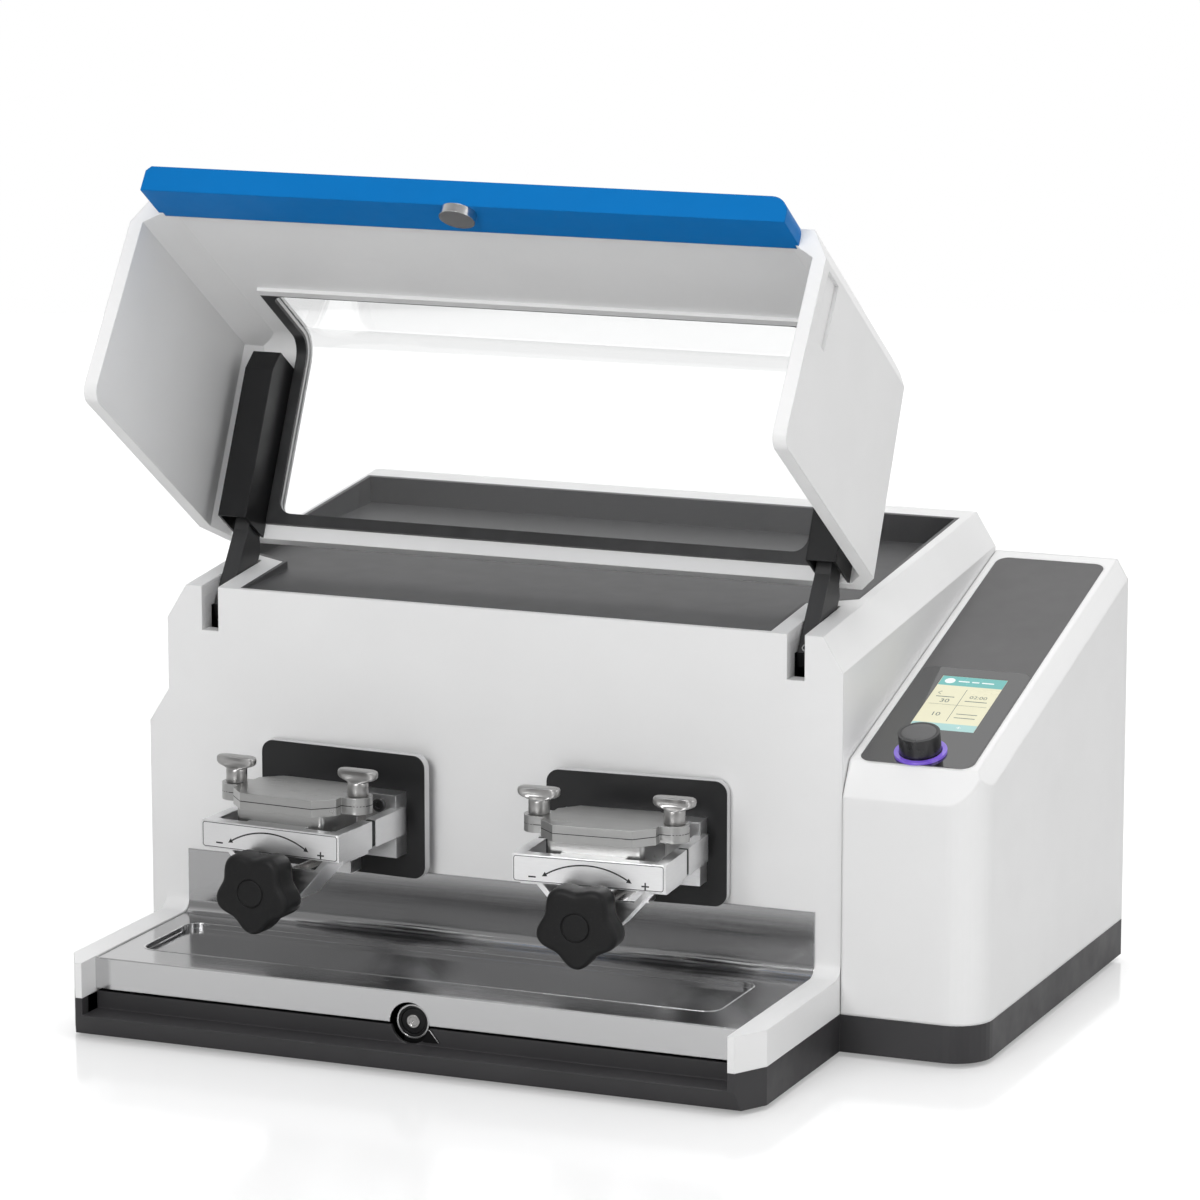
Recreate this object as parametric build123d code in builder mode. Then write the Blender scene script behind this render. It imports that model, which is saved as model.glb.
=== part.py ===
from build123d import *
from math import acos, cos, hypot, pi, radians, sin, tan
import os

# Bench mixer mill: two jar stations under a hinged lid, with a control tower at the right.
# Millimetres. Origin at the middle of the footprint, on the bench. X right, Y back, Z up.
# The lid stands open and both stations stand at the outer end of their swing.

os.makedirs("parts", exist_ok=True)

# Overall sizes
skirt_step = 12.0
chamber_width = 577.0
tower_width = 113.0
housing_depth = 545.0
inlet_flange = 4.0
switch_pin = 2.0
chamber_depth = 184.6
tower_setback = 1.6
foot_height = 4.0
foot_radius = 14.0
foot_inset = 45.0
base_top = 33.6
sheet = 3.0
overall_width = skirt_step + chamber_width + tower_width
overall_depth = housing_depth + inlet_flange + switch_pin
right_edge = chamber_width + tower_width

# Base pan
base_front_wall = 10.0
base_bevel_back = 6.0
base_bevel_top = 19.0
ledge_z = 20.0
groove_y = 25.0
post_size = 12.0
post_inset = 44.0
post_front = 36.0
post_back = 164.0

# Housing
housing_left = 5.0
housing_front_top = 326.4
housing_slope = 5.8
top_bevel_side = 16.5
top_bevel_down = 27.0
skirt_top = 214.0
skirt_bevel = 27.0

# Cheeks beside the tray
cheek_width = 21.0
cheek_top = 61.6
cheek_bevel_side = 15.4
cheek_bevel_back = 27.2
cheek_fillet = 12.0
cheek_arc = 11.95

# Shelf in the sloping top
shelf_front = chamber_depth + 3.6
shelf_step = chamber_depth + 79.9
shelf_diagonal = 20.5
shelf_back = housing_depth - 21.0
shelf_narrow_left = 68.0
shelf_narrow_right = chamber_width - 60.0
shelf_left = 24.0
shelf_right = chamber_width - shelf_left
shelf_front_z = 325.6
shelf_slope = 2.15
shelf_wall = 3.0
shelf_bottom_z = 300.0
shelf_above = 90.0

# Drip tray
tray_sheet = 1.5
tray_front = 23.0
tray_top = 60.6
tray_lip_bottom = 36.3
tray_upstand = 111.5
tray_bend = 9.0
pan_left = 40.0
pan_right = chamber_width - 54.0
pan_front = 61.0
pan_back = 149.0
pan_drop = 4.0
pan_corner = 12.0

# Latch in the front of the base
latch_x = chamber_width / 2 + 0.3
latch_z = 36.5
latch_front = 30.0
latch_back = 54.0
latch_radius = 13.5
latch_bore = 10.0
latch_bore_back = 46.0
latch_notch = 16.5
latch_foot = 9.0
plunger_radius = 9.7
plunger_length = 11.0
plunger_core = 5.5
plunger_step = 0.6

# Lid, measured as it lies shut
hinge_y = chamber_depth + 47.4
hinge_z = 313.5
lid_opening = 124.4
lid_left = 1.0
lid_front = 8.0
lid_back = chamber_depth - 2.0
lid_bottom = 64.0
lid_top_back = 326.0
lid_slope = 9.0
lid_corner = 30.0
lid_wall = 10.0
lid_side_wall = 11.0
lid_bevel_side = 14.0
lid_bevel_back = 23.0
lid_inner_bevel_side = 22.0
lid_inner_bevel_back = 13.0
lid_top_bevel_side = 16.5
lid_top_bevel_down = 24.0
bevel_reach = 30.0
lid_heel = 12.0
recess_front = 36.0
recess_back = 90.0
recess_top = 100.0
recess_depth = 3.0
window_left = 62.0
window_right = chamber_width - window_left
window_bottom = 204.0
window_back = lid_back - 20.6
window_corner = 12.0
window_reach = 30.0
window_lap = 6.0
window_thick = 4.0
window_inset = 3.0
seal_width = 9.0
seal_thick = 3.0

# Lid handle and striker
handle_front = 1.0
handle_back = 22.0
handle_bottom = 27.0
handle_rear_top = 69.0
handle_front_top = 76.0
handle_play = 2.6
handle_corner = 14.0
handle_left_corner = 4.0
striker_radius = 14.0
striker_end = 29.0
socket_size = 6.0
socket_depth = 4.0

# Hinge arms, their slots and covers
arm_inset = 44.8
arm_places = (36.4, chamber_width - arm_inset)
arm_thick = 12.6
arm_below = 20.0
arm_above = 9.8
arm_heel = 28.0
arm_heel_down = 12.0
arm_drop = 14.0
arm_end = 60.0
slot_play = 0.9
slot_floor = 291.0
slot_well = hinge_z - arm_below - 12.5
slot_well_front = chamber_depth + 13.4
slot_back = shelf_step
slot_wall = 3.5
slot_roof = 318.0
pin_radius = 4.0
pin_play = 0.05
cover_outward = 8.5
cover_inward = 3.4
cover_wall = 2.0
cover_back = lid_back - 0.6
cover_front = 42.0
cover_nose = 60.0
cover_back_z = 277.0
cover_nose_z = 257.0
cover_front_z = 263.0

# Stations, measured forward from the face of the swinging plate
station_mid = chamber_width / 2 + 0.7
station_spacing = 236.2
station_swing = 4.0
plate_y = chamber_depth - 14.6
plate_width = 146.0
plate_bottom = 110.6
plate_top = 209.0
plate_corner = 10.0
plate_thick = 8.0
pivot_back = 95.0
block_half = 57.0
block_bottom = 130.0
block_top = 180.0
block_depth = 17.0
lug_half = 16.0
lug_bottom = 113.0
ring_half = 60.7
ring_bottom = 148.0
ring_top = 169.5
ring_front = 114.0
ring_wall = 9.0
ring_corner = 10.0
rear_arm_end = 56.0
front_arm_start = 61.8
tongue_inset = 2.6
tongue_end = 84.0
tongue_play = 0.3
tongue_low = 153.0
tongue_high = 164.0

# Jars
jar_middle = 71.5
jar_half = 38.5
jar_back = 43.1
jar_front = 99.9
jar_bottom = 150.0
flange_bottom = 178.5
flange_top = 185.0
jar_lid_top = 191.5
jar_bore = 24.0
jar_floor = 5.0
jar_corner = 4.0
plug_play = 0.3
plug_depth = 3.0
jar_fit = 0.1
octagon_half = 45.7
octagon_depth = 33.5
octagon_cut = 14.0
ear_half = 65.5
ear_depth = 11.5
jaw_half = 30.0
jaw_bottom = 152.0
jaw_top = 173.0
jaw_lip_half = 20.0
jaw_lip = 4.0
jaw_lip_reach = 8.0
pad_half = 26.0
pad_rise = 0.8

# Wing screws on the jars
wing_offset = 54.0
wing_stem = 8.2
wing_stem_top = 203.0
wing_top = 212.0
wing_length = 34.0
wing_width = 13.0
wing_shank = 4.0
wing_shank_bottom = 180.0
wing_hole_play = 0.3

# Cradle, spindle and star knob
cradle_sheet = 4.0
cradle_tab = 58.0
cradle_top_half = 45.0
cradle_bottom_half = 15.0
cradle_bottom = 110.5
cradle_back = 63.0
cradle_front = 103.0
web_top = 136.0
web_half = 34.0
spindle_z = 124.0
spindle_radius = 6.0
spindle_play = 0.06
spindle_start = 4.0
collar_radius = 8.5
collar_length = 3.0
collar_gap = 0.3
knob_front = 145.0
knob_back = 120.0
knob_radius = 33.0
knob_lobes = 5
lobe_rise = 3.2
knob_points = 40
knob_sleeve = 10.5
knob_cap = 10.5
cap_rise = 0.8

# Rockers and their drive
boss_radius = 34.0
boss_bottom = 120.0
boss_top = 196.0
neck_half = 28.0
neck_bottom = 135.0
neck_top = 175.0
opening_play = 12.0
opening_corner = 8.0
shaft_radius = 12.5
shaft_tip = 8.0
bearing_radius = 23.5
bearing_width = 12.0
running_play = 0.05
boss_play = 2.0
shaft_flange = 22.0
flange_gap = 0.4
chassis_thick = 6.0
chassis_margin = 14.0
chassis_front = chamber_depth + 11.4
chassis_back = housing_depth - 17.0
bridge_bottom = 214.0
bridge_thick = 8.0
bridge_half = 22.0
bridge_overhang = 62.0
bridge_post = 14.0
gear_module = 3.0
gear_bottom = 180.0
gear_thick = 12.0
gear_pressure = 20.0
gear_play = 0.3
gear_addendum = 0.9
gear_dedendum = 1.25
pinion_teeth = 20
pinion_gap = 19
pinion_drop = 2.0
flank_steps = 3
left_teeth_first = -4
left_teeth_last = 22
right_teeth_first = -2
right_teeth_last = 3
gear_window = 13.0
gear_window_reach = 72.0
gear_window_turns = (15.0, 45.0, 75.0)
motor_radius = 52.0
motor_top = 150.0
motor_cap = 46.0
motor_cap_height = 10.0
motor_shaft = 7.0
motor_fins = 16
fin_depth = 3.0
fin_width = 4.0

# Electrics
supply_left = 300.0
supply_right = 430.0
supply_back = housing_depth - 45.0
supply_front = supply_back - 100.0
supply_height = 55.0
board_back = housing_depth - 105.0
board_front = board_back - 190.0
board_low = 60.0
board_high = 190.0
board_thick = 1.6
board_gap = 5.0
board_peg = 3.0
board_margin = 8.0

# Control tower
tower_front = chamber_depth - tower_setback
tower_gap = 0.8
tower_bevel_z = 204.0
panel_y = tower_front + 15.0
panel_z = 230.4
panel_slope = 16.4
tower_corner = 30.0
corner_facets = 9
tower_bevel_side = 9.3
tower_bevel_down = 16.0
panel_left = 7.0
panel_right = 98.0
panel_start = 0.0
panel_margin = 11.24
panel_end = (housing_depth - panel_margin - panel_y) / cos(radians(panel_slope))
panel_corner = 10.0
panel_lip = 4.0
panel_lip_thick = 2.0
glass_end = 157.0
glass_thick = 1.5
glass_edge = 1.2
screen_left = 28.0
screen_right = 81.0
screen_start = 57.0
screen_end = 144.0
screen_drop = 0.3
dial_x = 51.2
dial_up = 19.8
dial_radius = 16.2
dial_height = 15.0
dial_gap = 2.6
dial_ring_inner = 16.8
dial_ring_seat = 17.8
dial_ring_outer = 20.4
dial_ring_height = 2.0
dial_shaft_radius = 3.0
dial_shaft_play = 0.3
dial_bore_play = 0.05
encoder_size = 18.0
encoder_height = 9.0
encoder_travel = 2.0
dial_cover = 3.0

# Rear face
rear_sheet = 2.0
fan_x = 120.0
fan_z = 210.0
fan_size = 80.0
fan_depth = 25.0
fan_bore = 38.0
fan_hub = 15.0
fan_play = 1.5
fan_blades = 7
blade_width = 15.0
blade_thick = 2.0
blade_twist = 35.0
fan_strut = 4.0
vent_width = 66.0
vent_height = 4.0
vent_pitch = 9.0
vent_count = 8
inlet_x = chamber_width - 117.0
inlet_z = 90.0
inlet_width = 50.0
inlet_height = 66.0
inlet_inside = 32.0
inlet_rim = 3.0
plug_width = 27.0
plug_height = 20.0
plug_hole_depth = 18.0
plug_z = 76.0
plug_pin = 2.0
plug_pin_pitch = 7.0
switch_z = 106.0
switch_width = 20.0
switch_height = 24.0
switch_depth = 16.0
switch_play = 0.5
switch_end_gap = 3.0
switch_barrel = 5.0

# The solids are drawn in frames of their own. In the body frame X runs right from the left cheek,
# Y runs back from the front of the cheeks and Z runs up from the bench.
body = Plane(origin=(skirt_step - overall_width / 2, -overall_depth / 2, 0))


def spot(frame, x, y, z):
    return frame.from_local_coords(Vector(x, y, z))


def plan(frame, z):
    return Plane(origin=spot(frame, 0, 0, z), x_dir=frame.x_dir, z_dir=frame.z_dir)


def side(frame, x):
    return Plane(origin=spot(frame, x, 0, 0), x_dir=frame.y_dir, z_dir=frame.x_dir)


def front(frame, y):
    return Plane(origin=spot(frame, 0, y, 0), x_dir=frame.x_dir, z_dir=-frame.y_dir)


def prism(plane, points, depth, mode=Mode.ADD):
    with BuildSketch(plane) as outline:
        with BuildLine():
            Polyline(*points, close=True)
        make_face()
    extrude(outline.sketch, amount=depth, mode=mode)


def box(frame, x0, x1, y0, y1, z0, z1, mode=Mode.ADD):
    prism(plan(frame, z0), [(x0, y0), (x1, y0), (x1, y1), (x0, y1)], z1 - z0, mode)


def disc(plane, centre, radius, depth, mode=Mode.ADD):
    with BuildSketch(plane) as outline:
        with Locations(centre):
            Circle(radius)
    extrude(outline.sketch, amount=depth, mode=mode)


def knob_outline():
    points = []
    for step in range(knob_points):
        turn = 2 * pi * step / knob_points
        radius = knob_radius - lobe_rise * (1 + sin(knob_lobes * turn))
        points.append((radius * cos(turn), spindle_z + radius * sin(turn)))
    return points


def slab(plane, x0, x1, y0, y1, radius, depth, mode=Mode.ADD):
    with BuildSketch(plane) as outline:
        with Locations(((x0 + x1) / 2, (y0 + y1) / 2)):
            RectangleRounded(x1 - x0, y1 - y0, radius)
    extrude(outline.sketch, amount=depth, mode=mode)


def sheared(plane, points, depth, slope, mode=Mode.ADD):
    with BuildSketch(plane) as outline:
        with BuildLine():
            Polyline(*points, close=True)
        make_face()
    run = body.y_dir * cos(radians(slope)) + body.z_dir * sin(radians(slope))
    extrude(outline.sketch, amount=depth / cos(radians(slope)), dir=run, mode=mode)


def inner_bevel(across, down, inset):
    slant = hypot(across, down)
    return across - inset * (1 - (slant - across) / down), down - inset * (1 - (slant - down) / across)


def save(piece, name):
    piece.part.label = name
    export_step(piece.part, "parts/" + name + ".step")


# In the lid frame every point of the lid has the body coordinates that it has when the lid is shut
opening = radians(-lid_opening)
lid_frame = Plane(
    origin=spot(
        body,
        0,
        hinge_y - hinge_y * cos(opening) + hinge_z * sin(opening),
        hinge_z - hinge_y * sin(opening) - hinge_z * cos(opening),
    ),
    x_dir=(1, 0, 0),
    z_dir=(0, -sin(opening), cos(opening)),
)


# A station frame has its origin on the front of the swinging plate, X right and Y back
def station_frame(hand):
    angle = radians(hand * station_swing)
    pivot = spot(body, station_mid + hand * station_spacing / 2, plate_y + pivot_back, 0)
    return Plane(
        origin=(pivot.X + pivot_back * sin(angle), pivot.Y - pivot_back * cos(angle), 0),
        x_dir=(cos(angle), sin(angle), 0),
        z_dir=(0, 0, 1),
    )


# In the panel frame X runs right from the tower's left edge, Y up the slope and Z out of it
panel_frame = Plane(
    origin=spot(body, chamber_width, panel_y, panel_z),
    x_dir=(1, 0, 0),
    z_dir=(0, -sin(radians(panel_slope)), cos(radians(panel_slope))),
)


def quarter_turn(centre_x, centre_y, reach):
    turns = [pi / 2 * step / corner_facets for step in range(corner_facets + 1)]
    return [(centre_x + reach * sin(turn), centre_y - reach * cos(turn)) for turn in turns]


def corner_curve(inset):
    return quarter_turn(right_edge - tower_corner, tower_front + tower_corner, tower_corner - inset)


def footprint(inset, front_inset):
    return [
        (cheek_bevel_side + inset, front_inset),
        (chamber_width - cheek_bevel_side - inset, front_inset),
        (chamber_width - inset, cheek_bevel_back + inset),
        (chamber_width - inset, tower_front + inset),
        *corner_curve(inset),
        (right_edge - inset, housing_depth - inset),
        (inset - skirt_step, housing_depth - inset),
        (inset - skirt_step, chamber_depth + inset),
        (inset, chamber_depth + inset),
        (inset, cheek_bevel_back + inset),
    ]


floor_top = foot_height + sheet
tray_under = tray_top - tray_sheet
with BuildPart() as base_pan:
    prism(plan(body, foot_height), footprint(0, 0), base_top - foot_height)
    prism(plan(body, floor_top), footprint(sheet, base_front_wall), base_top, Mode.SUBTRACT)
    box(body, cheek_width, chamber_width - cheek_width, 0, groove_y, ledge_z, base_top, Mode.SUBTRACT)
    box(
        body,
        cheek_width,
        chamber_width - cheek_width,
        base_front_wall,
        groove_y + sheet,
        ledge_z - sheet,
        ledge_z,
    )
    box(
        body,
        cheek_width,
        chamber_width - cheek_width,
        groove_y,
        groove_y + sheet,
        ledge_z - sheet,
        base_top,
    )
    prism(
        side(body, -skirt_step),
        [
            (0, base_bevel_top),
            (-sheet, base_bevel_top),
            (-sheet, 0),
            (base_bevel_back, 0),
            (base_bevel_back, foot_height),
        ],
        overall_width,
        Mode.SUBTRACT,
    )
    for post_x in (post_inset, chamber_width - post_inset - post_size):
        for post_y in (post_front, post_back):
            box(body, post_x, post_x + post_size, post_y, post_y + post_size, foot_height, tray_under)
    disc(front(body, groove_y + 2 * sheet), (latch_x, latch_z), latch_notch, 3 * sheet, Mode.SUBTRACT)
save(base_pan, "base_pan")

with BuildPart() as rubber_feet:
    for foot_spot in (
        (foot_inset, foot_inset),
        (chamber_width - foot_inset, foot_inset),
        (right_edge - foot_inset, housing_depth - foot_inset),
        (foot_inset - skirt_step, housing_depth - foot_inset),
    ):
        disc(plan(body, 0), foot_spot, foot_radius, foot_height)
save(rubber_feet, "rubber_feet")


def housing_section(y, inset, low):
    across, down = inner_bevel(top_bevel_side, top_bevel_down, inset)
    top = housing_front_top + (y - chamber_depth) * tan(radians(housing_slope)) - inset
    left = housing_left + inset
    right = chamber_width - inset
    return [
        (left, low),
        (right, low),
        (right, top - down),
        (right - across, top),
        (left + across, top),
        (left, top - down),
    ]


def shelf_outline(inset):
    diagonal_right = shelf_right - shelf_narrow_right
    diagonal_left = shelf_narrow_left - shelf_left
    return [
        (shelf_narrow_left + inset, shelf_front + inset),
        (shelf_narrow_right - inset, shelf_front + inset),
        (shelf_narrow_right - inset, shelf_step + inset),
        (shelf_narrow_right + diagonal_right - inset, shelf_step + shelf_diagonal + inset),
        (shelf_right - inset, shelf_back - inset),
        (shelf_left + inset, shelf_back - inset),
        (shelf_narrow_left - diagonal_left + inset, shelf_step + shelf_diagonal + inset),
        (shelf_narrow_left + inset, shelf_step + inset),
    ]


housing_rise = (housing_depth - chamber_depth) * tan(radians(housing_slope))
below_base = -housing_depth
with BuildPart() as main_housing:
    sheared(
        front(body, chamber_depth),
        housing_section(chamber_depth, 0, base_top - housing_rise - sheet),
        housing_depth - chamber_depth,
        housing_slope,
    )
    prism(
        front(body, housing_depth),
        [
            (-skirt_step, base_top),
            (housing_left + sheet, base_top),
            (housing_left + sheet, skirt_top + skirt_bevel),
            (housing_left, skirt_top + skirt_bevel),
            (-skirt_step, skirt_top),
        ],
        housing_depth - chamber_depth,
    )
    box(body, -skirt_step, chamber_width, 0, overall_depth, -housing_rise, base_top, Mode.SUBTRACT)
    sheared(
        front(body, chamber_depth + sheet),
        housing_section(chamber_depth + sheet, sheet, below_base),
        housing_depth - chamber_depth,
        housing_slope,
        Mode.SUBTRACT,
    )
    prism(
        front(body, housing_depth - sheet),
        [
            (sheet - skirt_step, 0),
            (housing_left + 2 * sheet, 0),
            (housing_left + 2 * sheet, skirt_top + skirt_bevel - sheet),
            (sheet - skirt_step, skirt_top - sheet / 2),
        ],
        housing_depth - chamber_depth - 2 * sheet,
        Mode.SUBTRACT,
    )
    for mirror_x, way in ((0, 1), (chamber_width, -1)):
        outer = [
            (mirror_x + way * cheek_bevel_side, 0),
            (mirror_x + way * cheek_width, 0),
            (mirror_x + way * cheek_width, chamber_depth + sheet),
            (mirror_x + way * sheet, chamber_depth + sheet),
            (mirror_x, chamber_depth),
            (mirror_x, cheek_bevel_back),
        ]
        inner = [
            (mirror_x + way * (cheek_bevel_side + sheet / 2), sheet),
            (mirror_x + way * (cheek_width - sheet), sheet),
            (mirror_x + way * (cheek_width - sheet), chamber_depth),
            (mirror_x + way * sheet, chamber_depth),
            (mirror_x + way * sheet, cheek_bevel_back + sheet / 2),
        ]
        prism(plan(body, base_top), outer, cheek_top - base_top)
        prism(plan(body, base_top), inner, cheek_top - base_top - sheet, Mode.SUBTRACT)
        low_x = min(mirror_x, mirror_x + way * cheek_width)
        box(
            body,
            low_x,
            low_x + cheek_width,
            chamber_depth - cheek_fillet,
            chamber_depth,
            cheek_top,
            cheek_top + cheek_fillet,
        )
        disc(
            side(body, low_x),
            (chamber_depth - cheek_fillet, cheek_top + cheek_fillet),
            cheek_arc,
            cheek_width,
            Mode.SUBTRACT,
        )
    for arm_x in arm_places:
        slot_x0 = arm_x - slot_play
        slot_x1 = arm_x + arm_thick + slot_play
        box(
            body,
            slot_x0 - slot_wall,
            slot_x1 + slot_wall,
            chamber_depth,
            slot_back + slot_wall,
            slot_well - slot_wall,
            slot_roof,
        )
        box(body, slot_x0, slot_x1, 0, slot_well_front, slot_floor, overall_depth, Mode.SUBTRACT)
        box(body, slot_x0, slot_x1, slot_well_front, slot_back, slot_well, overall_depth, Mode.SUBTRACT)
        disc(
            side(body, slot_x0 - 2 * slot_wall),
            (hinge_y, hinge_z),
            pin_radius,
            arm_thick + 2 * slot_play + 4 * slot_wall,
            Mode.SUBTRACT,
        )
    prism(plan(body, shelf_bottom_z), shelf_outline(0), shelf_above, Mode.SUBTRACT)
    for hand in (-1, 1):
        mid = station_mid + hand * station_spacing / 2
        slab(
            front(body, chamber_depth + 2 * sheet),
            mid - neck_half - opening_play,
            mid + neck_half + opening_play,
            neck_bottom - opening_play,
            neck_top + opening_play,
            opening_corner,
            3 * sheet,
            Mode.SUBTRACT,
        )
save(main_housing, "main_housing")

shelf_frame = Plane(
    origin=spot(body, 0, shelf_front, shelf_front_z),
    x_dir=(1, 0, 0),
    z_dir=(0, -sin(radians(shelf_slope)), cos(radians(shelf_slope))),
)
shelf_run = shelf_back - shelf_front
shelf_rise = shelf_run * tan(radians(shelf_slope))
shelf_top_front = housing_front_top + (shelf_front - chamber_depth) * tan(radians(housing_slope))
with BuildPart() as top_shelf:
    prism(plan(body, shelf_bottom_z), shelf_outline(0), shelf_above)
    prism(
        side(body, shelf_left),
        [
            (shelf_front, shelf_front_z - shelf_wall),
            (shelf_back, shelf_front_z + shelf_rise - shelf_wall),
            (shelf_back, shelf_top_front + shelf_run * tan(radians(housing_slope))),
            (shelf_front, shelf_top_front),
        ],
        shelf_right - shelf_left,
        Mode.INTERSECT,
    )
    cavity = [(x, y - shelf_front) for x, y in shelf_outline(shelf_wall)]
    prism(shelf_frame, cavity, shelf_above, Mode.SUBTRACT)
save(top_shelf, "top_shelf")

with BuildPart() as drip_tray:
    with BuildSketch(side(body, cheek_width)) as tray_profile:
        with BuildLine():
            Polyline(
                (tray_front, tray_lip_bottom),
                (tray_front + tray_sheet, tray_lip_bottom),
                (tray_front + tray_sheet, tray_under),
                (chamber_depth, tray_under),
                (chamber_depth, tray_upstand),
                (chamber_depth - tray_sheet, tray_upstand),
                (chamber_depth - tray_sheet, tray_top),
                (tray_front, tray_top),
                close=True,
            )
        make_face()
        fillet(
            [v for v in tray_profile.vertices() if abs(v.X - chamber_depth) < 1 and abs(v.Y - tray_under) < 1],
            tray_bend + tray_sheet,
        )
        fillet(
            [
                v
                for v in tray_profile.vertices()
                if abs(v.X - chamber_depth + tray_sheet) < 1 and abs(v.Y - tray_top) < 1
            ],
            tray_bend,
        )
    extrude(amount=chamber_width - 2 * cheek_width)
    slab(
        plan(body, tray_under - pan_drop),
        pan_left - tray_sheet,
        pan_right + tray_sheet,
        pan_front - tray_sheet,
        pan_back + tray_sheet,
        pan_corner + tray_sheet,
        pan_drop,
    )
    slab(
        plan(body, tray_top - pan_drop),
        pan_left,
        pan_right,
        pan_front,
        pan_back,
        pan_corner,
        2 * pan_drop,
        Mode.SUBTRACT,
    )
    disc(front(body, groove_y + 2 * sheet), (latch_x, latch_z), latch_notch, 3 * sheet, Mode.SUBTRACT)
save(drip_tray, "drip_tray")

with BuildPart() as latch_housing:
    disc(front(body, latch_back), (latch_x, latch_z), latch_radius, latch_back - latch_front)
    box(
        body,
        latch_x - latch_foot,
        latch_x + latch_foot,
        latch_front + sheet,
        latch_back,
        floor_top,
        latch_z - latch_bore,
    )
    disc(front(body, latch_bore_back), (latch_x, latch_z), latch_bore, latch_back, Mode.SUBTRACT)
save(latch_housing, "latch_housing")

with BuildPart() as latch_plunger:
    disc(
        front(body, latch_front + plunger_length + plunger_step),
        (latch_x, latch_z),
        plunger_radius,
        plunger_length,
    )
    disc(front(body, latch_front + plunger_length), (latch_x, latch_z), plunger_core, plunger_length)
save(latch_plunger, "latch_plunger")


def tower_form(inset, low):
    slope = tan(radians(panel_slope))
    top_drop = inset / cos(radians(panel_slope))
    top_back = panel_z + (housing_depth - panel_y) * slope
    prism(
        side(body, chamber_width + tower_gap + inset),
        [
            (tower_front + inset, low),
            (tower_front + inset, tower_bevel_z - inset / 2),
            (panel_y + inset / 2, panel_z + inset * slope / 2 - top_drop),
            (housing_depth - inset, top_back - inset * slope - top_drop),
            (housing_depth - inset, low),
        ],
        tower_width - tower_gap - 2 * inset,
    )
    with BuildSketch(plan(body, low)) as tower_plan:
        with BuildLine():
            Polyline(
                (chamber_width, tower_front + inset),
                *corner_curve(inset),
                (right_edge - inset, housing_depth),
                (chamber_width, housing_depth),
                close=True,
            )
        make_face()
    extrude(tower_plan.sketch, amount=overall_depth, mode=Mode.INTERSECT)
    across, down = inner_bevel(tower_bevel_side, tower_bevel_down, inset)
    top_start = panel_z - (panel_y - tower_front) * slope - top_drop
    right = right_edge - inset
    sheared(
        front(body, tower_front),
        [
            (right - across, top_start),
            (right - across, top_start + overall_depth),
            (right + sheet, top_start + overall_depth),
            (right + sheet, top_start - down),
            (right, top_start - down),
        ],
        overall_depth,
        panel_slope,
        Mode.SUBTRACT,
    )


with BuildPart() as tower_space:
    tower_form(sheet, 0)

panel_top_hole = (panel_left, panel_right, panel_start, panel_end, panel_corner)
with BuildPart() as tower_housing:
    tower_form(0, base_top)
    add(tower_space.part, mode=Mode.SUBTRACT)
    slab(plan(panel_frame, -tower_corner), *panel_top_hole, 2 * tower_corner, Mode.SUBTRACT)
save(tower_housing, "tower_housing")

with BuildPart() as control_panel:
    slab(plan(panel_frame, -sheet), *panel_top_hole, sheet)
    slab(
        plan(panel_frame, -sheet - panel_lip_thick),
        panel_left - panel_lip / 2,
        panel_right - panel_lip,
        panel_start + panel_corner,
        panel_end - panel_lip,
        panel_corner,
        panel_lip_thick,
    )
    slab(
        plan(panel_frame, -glass_thick),
        panel_left + glass_edge,
        panel_right - glass_edge,
        panel_start + glass_edge,
        glass_end,
        panel_corner,
        sheet,
        Mode.SUBTRACT,
    )
    disc(
        plan(panel_frame, -tower_corner),
        (dial_x, dial_up),
        dial_shaft_radius + dial_shaft_play,
        2 * tower_corner,
        Mode.SUBTRACT,
    )
save(control_panel, "control_panel")

with BuildPart() as control_glass:
    slab(
        plan(panel_frame, -glass_thick),
        panel_left + glass_edge,
        panel_right - glass_edge,
        panel_start + glass_edge,
        glass_end,
        panel_corner,
        glass_thick,
    )
    box(panel_frame, screen_left, screen_right, screen_start, screen_end, -sheet, sheet, Mode.SUBTRACT)
    disc(plan(panel_frame, -sheet), (dial_x, dial_up), dial_ring_seat, 2 * sheet, Mode.SUBTRACT)
save(control_glass, "control_glass")

with BuildPart() as display_screen:
    box(panel_frame, screen_left, screen_right, screen_start, screen_end, -glass_thick, -screen_drop)
save(display_screen, "display_screen")

with BuildPart() as dial_light_ring:
    disc(plan(panel_frame, -glass_thick), (dial_x, dial_up), dial_ring_seat, glass_thick)
    disc(plan(panel_frame, 0), (dial_x, dial_up), dial_ring_outer, dial_ring_height)
    disc(plan(panel_frame, -sheet), (dial_x, dial_up), dial_ring_inner, tower_corner, Mode.SUBTRACT)
save(dial_light_ring, "dial_light_ring")

encoder_top = -sheet - panel_lip_thick
with BuildPart() as dial_encoder:
    box(
        panel_frame,
        dial_x - encoder_size / 2,
        dial_x + encoder_size / 2,
        dial_up - encoder_size / 2,
        dial_up + encoder_size / 2,
        encoder_top - encoder_height,
        encoder_top,
    )
    disc(
        plan(panel_frame, encoder_top - encoder_height + encoder_travel / 2),
        (dial_x, dial_up),
        dial_shaft_radius + dial_shaft_play,
        encoder_height,
        Mode.SUBTRACT,
    )
save(dial_encoder, "dial_encoder")

dial_shaft_low = encoder_top - encoder_height + 2 * encoder_travel
dial_shaft_high = dial_gap + dial_height - dial_cover
with BuildPart() as dial_shaft:
    disc(
        plan(panel_frame, dial_shaft_low),
        (dial_x, dial_up),
        dial_shaft_radius,
        dial_shaft_high - dial_shaft_low,
    )
save(dial_shaft, "dial_shaft")

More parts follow.
